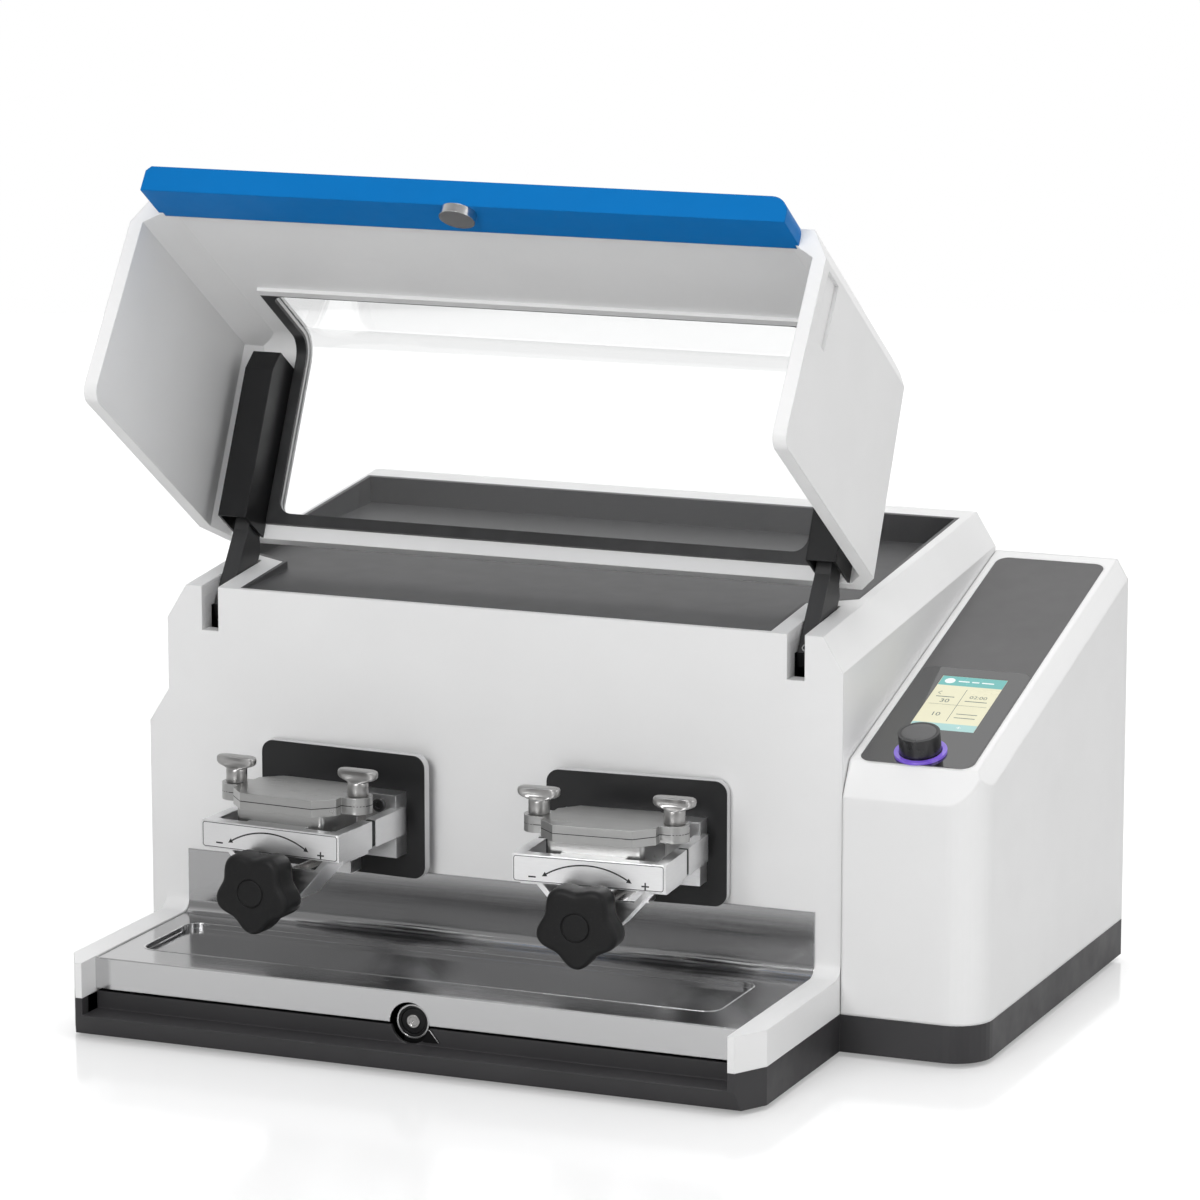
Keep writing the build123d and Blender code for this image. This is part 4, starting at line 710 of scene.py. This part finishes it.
with shaped("display_header", screen_teal, "housing", "screen") as shape:
    bar(shape, panel, HEADER, SCREEN, FIELD_TOP, FIELD_CORNER)
with shaped("display_footer", screen_pale, "housing", "screen") as shape:
    bar(shape, panel, FOOTER, SCREEN, FIELD_TOP, FIELD_CORNER)
with shaped("display_lines", screen_ink, "housing", "screen") as shape:
    for box in RULES:
        bar(shape, panel, box, SCREEN, FIELD_TOP, RULE_CORNER)
    for box in TEXT_BARS:
        bar(shape, panel, box, SCREEN, FIELD_TOP, TEXT_CORNER)
    stroke(shape, panel, BACK_ARROW, BACK_ARROW_WIDTH, SCREEN, FIELD_TOP)
with shaped("display_marks", screen_white, "housing", "screen") as shape:
    raised(shape, panel, round_outline(*HEADER_DOT), FIELD_TOP, MARK_TOP)
    for box in HEADER_BARS:
        bar(shape, panel, box, FIELD_TOP, MARK_TOP, MARK_CORNER)
for name, text, x, y, size, finish, out in CHARACTERS:
    lettering(name, text, panel, x, y, size, finish, "housing", out)

# ---------------------------------------------------------------- stations

TILT = math.radians(4.0)
STATIONS = (("left", (-174.527, -105.269), -1), ("right", (74.927, -105.269), 1))
# Distances from the upright axis of a station's plate to the clamp front and to the jar.
FRAME_REACH = 114.0
JAR_REACH = 71.5

FRONT_FACE = 0.8
FRONT_PLATE = (-59.9, 59.9, 148.5, 169.0)
FRONT_PLATE_DEPTH = (-0.5, FRONT_FACE, 2.4)
FRONT_CORNERS = ((-60.76, -49.0, 147.95, 169.55), (49.0, 60.76, 147.95, 169.55))
FRONT_CORNER_DEPTH = (-10.6, 0.15, 0.6)
PLATE_OUTER = rounded_outline((-73.12, 73.12, 110.48, 209.12), 10.12, 9)
PLATE_INNER = rounded_outline((-72.4, 72.4, 111.2, 208.4), 9.4, 9)
PLATE_RIM_DEPTH = (-8.0, -0.7)
SLEEVES = ((-60.1, -52.2, 148.6, 168.9), (52.2, 60.1, 148.6, 168.9))
SLEEVE_DEPTH = (55.8, 61.4, 1.2)
# The two screws on a rear clamp half: how far behind the clamp front they sit, and where.
FRAME_SCREW_BACK = 97.0
FRAME_SCREW_SIDES = (-43.0, 43.0)
FRAME_SCREW_LEVEL = 171.6
FRAME_SCREW_RADIUS, FRAME_SCREW_HEIGHT = 5.4, 3.4

# The printed marks on a clamp front: an outline, an arc with two arrow heads, and signs.
INK = (0.01, 0.05)
LABEL_OUTER = rounded_outline((-59.4, 59.4, 149.0, 168.5), 2.0)
LABEL_INNER = rounded_outline((-58.9, 58.9, 149.5, 168.0), 1.6)
ARC_MIDDLE, ARC_LEVEL, ARC_RADIUS, ARC_HALF_WIDTH = -1.2, 101.8, 62.8, 32.5
ARC_SPREAD = math.asin(ARC_HALF_WIDTH / ARC_RADIUS)
ARC_STEPS = 32
ARC_WIDTH = 1.15
ARROW_TIP, ARROW_BACK, ARROW_HALF_WIDTH = 3.6, 0.4, 2.0
# The bars of a minus on the left, and of a plus on the right.
SIGN_BARS = (
    (-47.6, -41.6, 152.2, 153.4),
    (42.0, 48.0, 151.6, 152.8), (44.4, 45.6, 152.8, 155.2), (44.4, 45.6, 149.2, 151.6),
)
SIGN_CORNER = 0.2

KNOB_LEVEL = 124.0
KNOB_STEPS = 100
KNOB_RADIUS, KNOB_LOBES, LOBE_DEPTH = 29.8, 5, 3.2
# Rounds of a clamp knob: radius and height on the stem; inset, roundness and height on the
# lobed body; radius and height on the cap.
KNOB_STEM = ((10.0, 103.3), (10.5, 104.0), (10.5, 119.9))
KNOB_BODY = (
    (7.0, 0.0, 120.1), (2.6, 0.0, 120.1), (1.0, 0.0, 120.9), (0.2, 0.0, 122.4), (0.0, 0.0, 125.0),
    (0.0, 0.0, 139.6), (0.3, 0.0, 142.0), (1.1, 0.0, 143.7), (2.4, 0.0, 144.7), (4.4, 0.0, 145.1),
    (7.5, 0.3, 145.35), (12.0, 0.75, 145.5), (18.0, 1.0, 145.55),
)
KNOB_CAP = (
    (11.5, 145.5), (11.2, 144.8), (10.7, 144.7), (10.4, 145.3), (10.1, 145.6), (9.0, 145.72), (4.0, 145.8),
)

WING_STEPS = 64
WING_SMOOTH = 40.0
# Rounds of a wing screw: height, half length, half width at the waist and at the tips,
# and how square the ends are.
WING_ROUNDS = (
    (180.0, 3.7, 3.7, 3.7, 2), (180.4, 4.0, 4.0, 4.0, 2), (191.62, 4.0, 4.0, 4.0, 2),
    (191.62, 7.8, 7.8, 7.8, 2), (192.1, 8.2, 8.2, 8.2, 2), (201.4, 8.2, 8.2, 8.2, 2),
    (202.1, 7.9, 7.9, 7.9, 2), (202.7, 8.6, 7.2, 7.6, 2.2), (203.4, 11.0, 5.6, 7.0, 2.8),
    (204.3, 13.8, 4.1, 6.6, 3.6), (205.4, 15.8, 3.3, 6.5, 4.4), (206.8, 16.8, 3.1, 6.4, 5),
    (208.6, 17.0, 3.6, 6.4, 5), (210.2, 16.9, 4.6, 6.4, 5), (211.3, 16.3, 5.3, 6.0, 5),
    (211.9, 15.2, 4.7, 5.2, 5), (212.0, 13.8, 3.9, 4.4, 5),
)

# The rim of a jar: the corners on its right side from the rear one to the ear, and the ear.
RIM_CORNERS = ((31.7, 33.5), (45.7, 19.5), (45.7, 11.5))
EAR_MIDDLE, EAR_REACH, EAR_HALF_WIDTH = 54.1, 11.4, 11.45
EAR_STEPS = 14
# The seal between a jar and its lid: its levels, and how far it stands out of the rim and in.
SEAL_LOW, SEAL_HIGH = 184.72, 185.28
SEAL_OUT, SEAL_IN = 0.09, -1.2


def label_arc():
    """The points of the arc on a clamp's label, from left to right."""
    points = []
    for i in range(ARC_STEPS + 1):
        turn = ARC_SPREAD * (1.0 - 2.0 * i / ARC_STEPS)
        points.append((ARC_MIDDLE - ARC_RADIUS * math.sin(turn), ARC_LEVEL + ARC_RADIUS * math.cos(turn)))
    return points


def arrow_head(end, way):
    """A triangle at an end of the arc that points along it; way is -1 at the left end."""
    heading = Vector((way * math.cos(ARC_SPREAD), -math.sin(ARC_SPREAD)))
    over = Vector((-heading.y, heading.x)) * ARROW_HALF_WIDTH
    tip = Vector(end) + heading * ARROW_TIP
    back = Vector(end) - heading * ARROW_BACK
    return [tuple(tip), tuple(back + over), tuple(back - over)]


def star_outline(inset, roundness):
    """The lobed outline of a clamp knob, moved in and drawn toward a circle."""
    points = []
    for i in range(KNOB_STEPS):
        turn = 2 * math.pi * i / KNOB_STEPS
        radius = KNOB_RADIUS - inset - LOBE_DEPTH * math.sin(KNOB_LOBES * turn) * (1.0 - roundness)
        points.append((radius * math.cos(turn), radius * math.sin(turn)))
    return points


def knob_rings(axis):
    """The rings of a clamp knob from its stem to its cap."""
    rings = turned_rings(axis, KNOB_STEM, steps=KNOB_STEPS)
    for inset, roundness, high in KNOB_BODY:
        rings.append([axis.at(*spot, high) for spot in star_outline(inset, roundness)])
    return rings + turned_rings(axis, KNOB_CAP, steps=KNOB_STEPS)


def wing_rings(upright):
    """The rings of a wing screw from its shank to the top of its wings."""
    rings = []
    for level, length, waist, tip, power in WING_ROUNDS:
        ring = []
        for i in range(WING_STEPS):
            turn = 2 * math.pi * i / WING_STEPS
            part = math.cos(turn)
            width = (waist + (tip - waist) * part * part) * math.sqrt(max(0.0, 1.0 - abs(part) ** power))
            ring.append(upright.at(length * part, math.copysign(width, math.sin(turn)), level))
        rings.append(ring)
    return rings


def jar_outline():
    """The rim of a jar with an ear on each side, anticlockwise."""
    ear = []
    for i in range(EAR_STEPS + 1):
        turn = math.pi * i / EAR_STEPS
        ear.append((EAR_MIDDLE + EAR_REACH * math.sin(turn), -EAR_HALF_WIDTH * math.cos(turn)))
    half = [(x, -y) for x, y in RIM_CORNERS] + ear + list(reversed(RIM_CORNERS))
    return half + [(-x, -y) for x, y in half]


jar_rim = jar_outline()
arc = label_arc()
for hand, origin, way in STATIONS:
    right = Vector((math.cos(TILT), way * math.sin(TILT), 0.0))
    ahead = Vector((way * math.sin(TILT), -math.cos(TILT), 0.0))
    foot = Vector((*origin, 0.0))
    frame_face = Place(foot + ahead * FRAME_REACH, right, (0, 0, 1))
    with shaped(hand + "_front_plate", aluminium, hand + "_jaw", "machined_aluminium") as shape:
        bar(shape, frame_face, FRONT_PLATE, *FRONT_PLATE_DEPTH)
        for box in FRONT_CORNERS:
            bar(shape, frame_face, box, *FRONT_CORNER_DEPTH)

    plate_face = frame_face.sunk(-FRAME_REACH)
    with shaped(hand + "_plate_rim", rear_paint, hand + "_station", "white_shell", SMOOTH) as shape:
        band(shape, plate_face, PLATE_OUTER, PLATE_INNER, *PLATE_RIM_DEPTH)

    front_face = frame_face.sunk(FRONT_FACE)
    with shaped(hand + "_turn_label", ink, hand + "_jaw", "black_plastic") as shape:
        band(shape, front_face, LABEL_OUTER, LABEL_INNER, *INK)
        stroke(shape, front_face, arc, ARC_WIDTH, *INK)
        for end, end_way in ((arc[0], -1), (arc[-1], 1)):
            raised(shape, front_face, arrow_head(end, end_way), *INK)
        for box in SIGN_BARS:
            bar(shape, front_face, box, *INK, SIGN_CORNER)

    shape = bmesh.new()
    lofted(shape, knob_rings(Place((*origin, KNOB_LEVEL), right, (0, 0, 1))))
    knob = piece(
        hand + "_grip_knob", softened(solid(shape)), knob_black,
        hand + "_clamp_screw",
    )
    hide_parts(hand + "_star_knob")

    for place_name in ("outer", "inner"):
        old = hand + "_" + place_name + "_wing_screw"
        low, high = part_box(old)
        middle = ((low[0] + high[0]) / 2 / MM, (low[1] + high[1]) / 2 / MM, 0.0)
        shape = bmesh.new()
        lofted(shape, wing_rings(Place(middle, right, -ahead)))
        screw = piece(
            hand + "_" + place_name + "_wing", softened(solid(shape), WING_SMOOTH), polished,
            hand + "_" + place_name + "_screw",
        )
        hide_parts(old)

    with shaped(hand + "_jar_seal", rubber, hand + "_jar", "rubber") as shape:
        jar_place = Place(foot + ahead * JAR_REACH, right, -ahead)
        band(shape, jar_place, grown(jar_rim, SEAL_OUT), grown(jar_rim, SEAL_IN), SEAL_LOW, SEAL_HIGH)
    with shaped(hand + "_joint_sleeves", rubber, hand + "_station", "rubber") as shape:
        for box in SLEEVES:
            bar(shape, plate_face, box, *SLEEVE_DEPTH)
    with shaped(hand + "_frame_screws", dark_steel, hand + "_station", "turned_steel", SMOOTH) as shape:
        screw_place = frame_face.sunk(-FRAME_SCREW_BACK)
        for x in FRAME_SCREW_SIDES:
            socket_screw(
                shape, screw_place, x, FRAME_SCREW_LEVEL, FRAME_SCREW_RADIUS, FRAME_SCREW_HEIGHT
            )

# ---------------------------------------------------------------- latch, tray, dial and rear

# Profiles are (radius, height) pairs, with the height out from the place.
latch = Place((-50.2, -245.5, 36.5), *UPRIGHT)
LATCH_STEPS = 64
RING_RADIUS, COLLAR_RADIUS, WELL_RADIUS = 13.4, 12.1, 10.1
RING_BASE, RING_TOP, COLLAR_TOP = -0.4, 0.45, 0.15
BUTTON_PROFILE = ((5.4, -0.6), (5.4, 0.2), (5.0, 0.5), (3.6, 0.5), (3.4, 0.3), (0.8, 0.3), (0.6, 0.1))
FINGER = ((10.4, -13.6), (23.6, -13.6), (23.8, -12.4), (16.6, -3.6), (14.8, -3.4), (12.6, -8.0))
FINGER_LOW, FINGER_TOP, FINGER_EDGE_TOP = 2.5, 6.0, 6.4
FINGER_EDGE = ((15.6, -3.6), (17.0, -4.6), (20.2, -8.6), (23.7, -13.0))
FINGER_EDGE_WIDTH = 0.9

with shaped("latch_ring", bent_steel, "housing", "turned_steel", SMOOTH) as shape:
    washer(shape, latch, RING_RADIUS, COLLAR_RADIUS, RING_BASE, RING_TOP, LATCH_STEPS)
with shaped("latch_collar", cover_black, "housing", "black_plastic", SMOOTH) as shape:
    washer(shape, latch, COLLAR_RADIUS, WELL_RADIUS, RING_BASE, COLLAR_TOP, LATCH_STEPS)
with shaped("latch_button", turned, "latch", "turned_steel", SMOOTH) as shape:
    turned_form(shape, latch, BUTTON_PROFILE)
with shaped("latch_finger", latch_black, "housing", "black_plastic") as shape:
    raised(shape, latch, FINGER, FINGER_LOW, FINGER_TOP)
with shaped("latch_finger_edge", bent_steel, "housing", "turned_steel") as shape:
    stroke(shape, latch, FINGER_EDGE, FINGER_EDGE_WIDTH, FINGER_TOP, FINGER_EDGE_TOP)

# The rolled front edge of the tray, and the line around its pressed pan.
EDGE_RADIUS = 0.75
EDGE_INSET = 0.2
EDGE_Y, EDGE_Z = -251.75, 60.55
EDGE_STEPS = 16
TRAY_TOP = 60.6
PAN_OUTER = rounded_outline((-300.1, 185.1, -215.6, -125.4), 13.1)
PAN_INNER = rounded_outline((-299.0, 184.0, -214.5, -126.5), 12.0)
PAN_EDGE = (-0.3, 0.3)

low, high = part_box("drip_tray")
rim = Place((low[0] / MM + EDGE_INSET, EDGE_Y, EDGE_Z), *SIDEWAYS)
with shaped("tray_rolled_edge", bent_steel, "housing", "stainless", SMOOTH) as shape:
    roll_length = (high[0] - low[0]) / MM - 2 * EDGE_INSET
    turned_form(shape, rim, ((EDGE_RADIUS, 0.0), (EDGE_RADIUS, roll_length)), steps=EDGE_STEPS)
tray_top = Place((0.0, 0.0, TRAY_TOP), *LEVEL)
with shaped("tray_pan_edge", bent_steel, "housing", "stainless", SMOOTH) as shape:
    band(shape, tray_top, PAN_OUTER, PAN_INNER, *PAN_EDGE)

# The groove and the metallic face in the top of the dial, and the dial's spot on the panel.
DIAL_STEPS = 64
DIAL_SMOOTH = 50.0
DIAL_ACROSS, DIAL_UP = 51.2, 19.8
GROOVE_PROFILE = ((14.1, 17.4), (14.1, 17.62), (13.6, 17.64), (13.5, 17.5))
FACE_PROFILE = ((13.3, 17.4), (13.3, 17.66), (12.9, 17.76), (9.0, 17.82), (3.0, 17.86))

dial = Place(panel.at(DIAL_ACROSS, DIAL_UP) / MM, (1, 0, 0), PANEL_SLOPE)
with shaped("dial_groove", black, "dial", "black_plastic", SMOOTH) as shape:
    turned_form(shape, dial, GROOVE_PROFILE, steps=DIAL_STEPS)
with shaped("dial_face", dial_grey, "dial", "black_plastic", DIAL_SMOOTH) as shape:
    turned_form(shape, dial, FACE_PROFILE, steps=DIAL_STEPS)

# ---------------------------------------------------------------- hinge slots and arm feet

# The left and right side of each hinge arm in x, and the play of its slot beside it.
ARM_SIDES = ((-302.6, -290.0), (193.2, 205.8))
SLOT_PLAY = 0.9
# Painted shade in a slot, dark sheets where the deep slot lies in shade: their thickness at the sides and
# the ends, and the gap at their ends.
SHADE_SHEET = 0.3
END_SHADE_SHEET = 0.25
END_GAP = 0.1
SLOT_FRONT, SLOT_BACK, SLOT_FLOOR, SLOT_TOP = -74.2, -11.1, 281.1, 308.5
FLOOR_FRONT, FLOOR_LEVEL = -77.4, 281.0
# The painted shade on a slot's side, and the wall above it, as (y, z) corners.
SLOT_SIDE = (
    (SLOT_FRONT, SLOT_FLOOR), (SLOT_BACK, SLOT_FLOOR), (SLOT_BACK, SLOT_TOP), (SLOT_FRONT, SLOT_TOP),
)
UPPER_WALL = ((-88.0, 317.6), (-9.6, 317.6), (-9.6, 331.8), (-88.0, 323.9))
UPPER_WALL_GAP, UPPER_WALL_THICK = 0.1, 1.5
BACK_WALL_Y, BACK_WALL_LOW, BACK_WALL_HIGH, BACK_WALL_THICK = -9.6, 317.6, 331.9, 1.2
# Where the painted shade on a slot's front and back end stands, and how high it reaches.
END_SHADE_SHEETS = ((-77.2, 290.8), (-11.05, SLOT_TOP))
# The painted shade on an arm's heel, a dark sheet over the part in its slot, as (y, z) corners, and how far
# it reaches past the arm's sides.
HEEL = ((-34.95, 308.4), (-51.2, 284.55), (-69.5, 296.95), (-71.6, 308.4))
HEEL_LAP = 0.2
WALL_CORNER = 0.05
# The screw in an arm's foot: its place in (y, z), the upward direction of its sloping top,
# its bright ring, the small pin in the ring and the dark socket.
SCREW_SPOT = (-68.8, 311.9)
SCREW_SLOPE = (0, 0.564, 0.826)
RING_OUTER, RING_INNER, RING_LOW, RING_HIGH = 3.25, 2.2, -0.2, 0.5
PIN_PROFILE = ((0.8, -0.1), (0.8, 0.4), (0.5, 0.45))
PIN_SPOT = (0.3, -0.3)
PIN_STEPS = 16
SOCKET_PROFILE = ((2.25, -0.2), (2.25, 0.12), (1.6, 0.14))
SCREW_ROUND = 32


def painted_slot_shade(shape, low_x, high_x):
    """Painted shade in one hinge slot: dark sheets on two sides, a floor and two ends."""
    for start in (low_x, high_x - SHADE_SHEET):
        raised(shape, Place((start, 0.0, 0.0), *SIDEWAYS), SLOT_SIDE, 0.0, SHADE_SHEET)
    left, right = low_x + END_GAP, high_x - END_GAP
    floor_place = Place((0.0, 0.0, FLOOR_LEVEL), *LEVEL)
    bar(shape, floor_place, (left, right, FLOOR_FRONT, SLOT_BACK), 0.0, SHADE_SHEET, WALL_CORNER)
    for y, top in END_SHADE_SHEETS:
        end_place = Place((0.0, y, 0.0), *UPRIGHT)
        bar(shape, end_place, (left, right, SLOT_FLOOR, top), 0.0, END_SHADE_SHEET, WALL_CORNER)


def upper_walls(shape, low_x, high_x):
    """The white walls above one hinge slot: two sides and the back."""
    for start in (low_x - UPPER_WALL_GAP - UPPER_WALL_THICK, high_x + UPPER_WALL_GAP):
        raised(shape, Place((start, 0.0, 0.0), *SIDEWAYS), UPPER_WALL, 0.0, UPPER_WALL_THICK)
    back_place = Place((0.0, BACK_WALL_Y, 0.0), *UPRIGHT)
    box = (low_x - UPPER_WALL_GAP, high_x + UPPER_WALL_GAP, BACK_WALL_LOW, BACK_WALL_HIGH)
    bar(shape, back_place, box, 0.0, BACK_WALL_THICK, WALL_CORNER)


def heel_painted_shade(shape, left, right_side):
    """A dark sheet of painted shade over the heel of one hinge arm, where it sits in its slot."""
    side = Place((left - HEEL_LAP, 0.0, 0.0), *SIDEWAYS)
    raised(shape, side, HEEL, 0.0, right_side - left + 2 * HEEL_LAP)


def screw_face(left, right_side):
    """The sloping top of one arm's foot, where its screw sits."""
    return Place(((left + right_side) / 2, *SCREW_SPOT), (1, 0, 0), SCREW_SLOPE)


# Dark sheets that paint the shade of the deep hinge slots.
with shaped("painted_slot_shades", latch_black, "housing", "black_plastic") as shape:
    for left, right_side in ARM_SIDES:
        painted_slot_shade(shape, left - SLOT_PLAY, right_side + SLOT_PLAY)
with shaped("slot_upper_walls", white, "housing", "white_shell") as shape:
    for left, right_side in ARM_SIDES:
        upper_walls(shape, left - SLOT_PLAY, right_side + SLOT_PLAY)
# Painted shade on the arms' heels, where they sit in the shaded slots.
with shaped("arm_heel_painted_shades", latch_black, "lid", "black_plastic") as shape:
    for left, right_side in ARM_SIDES:
        heel_painted_shade(shape, left, right_side)
with shaped("arm_screw_rings", bent_steel, "lid", "turned_steel", SMOOTH) as shape:
    for left, right_side in ARM_SIDES:
        face = screw_face(left, right_side)
        washer(shape, face, RING_OUTER, RING_INNER, RING_LOW, RING_HIGH, SCREW_ROUND)
        turned_form(shape, face, PIN_PROFILE, *PIN_SPOT, PIN_STEPS)
with shaped("arm_screw_sockets", latch_black, "lid", "black_plastic", SMOOTH) as shape:
    for left, right_side in ARM_SIDES:
        turned_form(shape, screw_face(left, right_side), SOCKET_PROFILE, steps=SCREW_ROUND)

# The rear panel's six screws: how far in from its edges, and the extra drop of the top row.
REAR_INSET = 9.0
REAR_TOP_DROP = 4.0
REAR_SCREW_RADIUS, REAR_SCREW_HEIGHT = 3.4, 1.8

low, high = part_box("rear_panel")
rear = Place((0.0, high[1] / MM, 0.0), (-1, 0, 0), (0, 0, 1))
with shaped("rear_screws", bent_steel, "housing", "turned_steel", SMOOTH) as shape:
    for x in (low[0] / MM + REAR_INSET, (low[0] + high[0]) / 2 / MM, high[0] / MM - REAR_INSET):
        for z in (low[2] / MM + REAR_INSET, high[2] / MM - REAR_INSET - REAR_TOP_DROP):
            socket_screw(shape, rear, -x, z, REAR_SCREW_RADIUS, REAR_SCREW_HEIGHT)

# ---------------------------------------------------------------- camera, floor and light

EYE = Vector((1.5688, -3.75879, 1.11941))
TARGET = Vector((0.01126, -0.02484, 0.32693))
LENS, SENSOR_WIDTH, CLIP_END = 158.24, 36.0, 100.0

camera = bpy.data.objects.new("camera", bpy.data.cameras.new("camera"))
bpy.context.scene.collection.objects.link(camera)
camera.location = EYE
camera.rotation_euler = (TARGET - EYE).to_track_quat("-Z", "Y").to_euler()
camera.data.lens = LENS
camera.data.sensor_width = SENSOR_WIDTH
camera.data.clip_end = CLIP_END
bpy.context.scene.camera = camera


def seen_directly(tree):
    """1 for what is seen directly or through the clear window, 0 for light and reflections."""
    path = joined(tree, "ShaderNodeLightPath")
    seen = joined(tree, "ShaderNodeMath", operation="MAXIMUM")
    tree.links.new(path.outputs["Is Camera Ray"], seen.inputs[0])
    tree.links.new(path.outputs["Is Transmission Ray"], seen.inputs[1])
    return seen.outputs["Value"]


# The floor is grey near the mill and turns into the white of the background with distance.
FLOOR_SIZE, FLOOR_SEGMENTS = 30.0, 40
FLOOR_ROUGH = 0.12
FLOOR_GREY, FLOOR_FAR_COLOUR = (0.72, 0.72, 0.72), (0.0, 0.0, 0.0)
FADE_START, FADE_END = 1.2, 4.0
FLOOR_SPECULAR = 0.8
NEAR_GLOW, FAR_GLOW = 0.3, 1.0

shape = bmesh.new()
bmesh.ops.create_grid(shape, x_segments=FLOOR_SEGMENTS, y_segments=FLOOR_SEGMENTS, size=FLOOR_SIZE)
floor_mesh = bpy.data.meshes.new("floor")
shape.to_mesh(floor_mesh)
shape.free()
floor = bpy.data.objects.new("floor", floor_mesh)
bpy.context.scene.collection.objects.link(floor)
floor_finish, tree, floor_shader = fresh("pale_floor")
floor_shader.inputs["Roughness"].default_value = FLOOR_ROUGH
seen = seen_directly(tree)
away = joined(tree, "ShaderNodeVectorMath", operation="LENGTH")
tree.links.new(in_model(tree), away.inputs[0])
far = spread(tree, away.outputs["Value"], 0.0, 1.0, FADE_START, FADE_END)
fade = product(tree, seen, far)
tree.links.new(mixed(tree, fade, FLOOR_GREY, FLOOR_FAR_COLOUR), floor_shader.inputs["Base Color"])
tree.links.new(spread(tree, fade, FLOOR_SPECULAR, 0.0, 0.0, 1.0), floor_shader.inputs["Specular IOR Level"])
glow = product(tree, spread(tree, far, NEAR_GLOW, FAR_GLOW, 0.0, 1.0), seen)
tree.links.new(glow, floor_shader.inputs["Emission Strength"])
floor_shader.inputs["Emission Color"].default_value = (1.0, 1.0, 1.0, 1.0)
floor_mesh.materials.append(floor_finish)

# The background is white. The light it gives comes mostly from behind the mill.
FRONT_LIGHT, BACK_LIGHT = 0.34, 0.95
FRONT_END, BACK_END = -0.6, 0.5

world = bpy.data.worlds.new("studio")
bpy.context.scene.world = world
world.use_nodes = True
tree = world.node_tree
tree.nodes.clear()
output = joined(tree, "ShaderNodeOutputWorld")
parts = joined(tree, "ShaderNodeSeparateXYZ")
tree.links.new(joined(tree, "ShaderNodeTexCoord").outputs["Generated"], parts.inputs[0])
room = joined(tree, "ShaderNodeBackground")
tree.links.new(
    spread(tree, parts.outputs["Y"], FRONT_LIGHT, BACK_LIGHT, FRONT_END, BACK_END),
    room.inputs["Strength"],
)
white_back = joined(tree, "ShaderNodeBackground")
white_back.inputs["Strength"].default_value = 1.0
for shader in (room, white_back):
    shader.inputs["Color"].default_value = (1.0, 1.0, 1.0, 1.0)
choice = joined(tree, "ShaderNodeMixShader")
tree.links.new(seen_directly(tree), choice.inputs[0])
tree.links.new(room.outputs[0], choice.inputs[1])
tree.links.new(white_back.outputs[0], choice.inputs[2])
tree.links.new(choice.outputs[0], output.inputs["Surface"])

# Each lamp: name, place, aim, width and height in metres, power in watts.
LAMPS = (
    ("key_light", (-0.1, -3.3, 1.7), (0, 0, 0.25), 1.3, 1.3, 54.0),
    ("top_light", (0.3, 0.2, 4.0), (0, 0, 0.2), 3.0, 2.2, 52.0),
    ("side_light", (2.8, -0.9, 1.5), (0.1, 0, 0.3), 1.4, 1.4, 17.0),
)
for name, place, aim, width, height, power in LAMPS:
    data = bpy.data.lights.new(name, "AREA")
    data.shape = "RECTANGLE"
    data.size = width
    data.size_y = height
    data.energy = power
    lamp = bpy.data.objects.new(name, data)
    bpy.context.scene.collection.objects.link(lamp)
    lamp.location = place
    lamp.rotation_euler = (Vector(aim) - Vector(place)).to_track_quat("-Z", "Y").to_euler()

bpy.context.scene.view_settings.view_transform = "Standard"

bpy.context.view_layer.update()
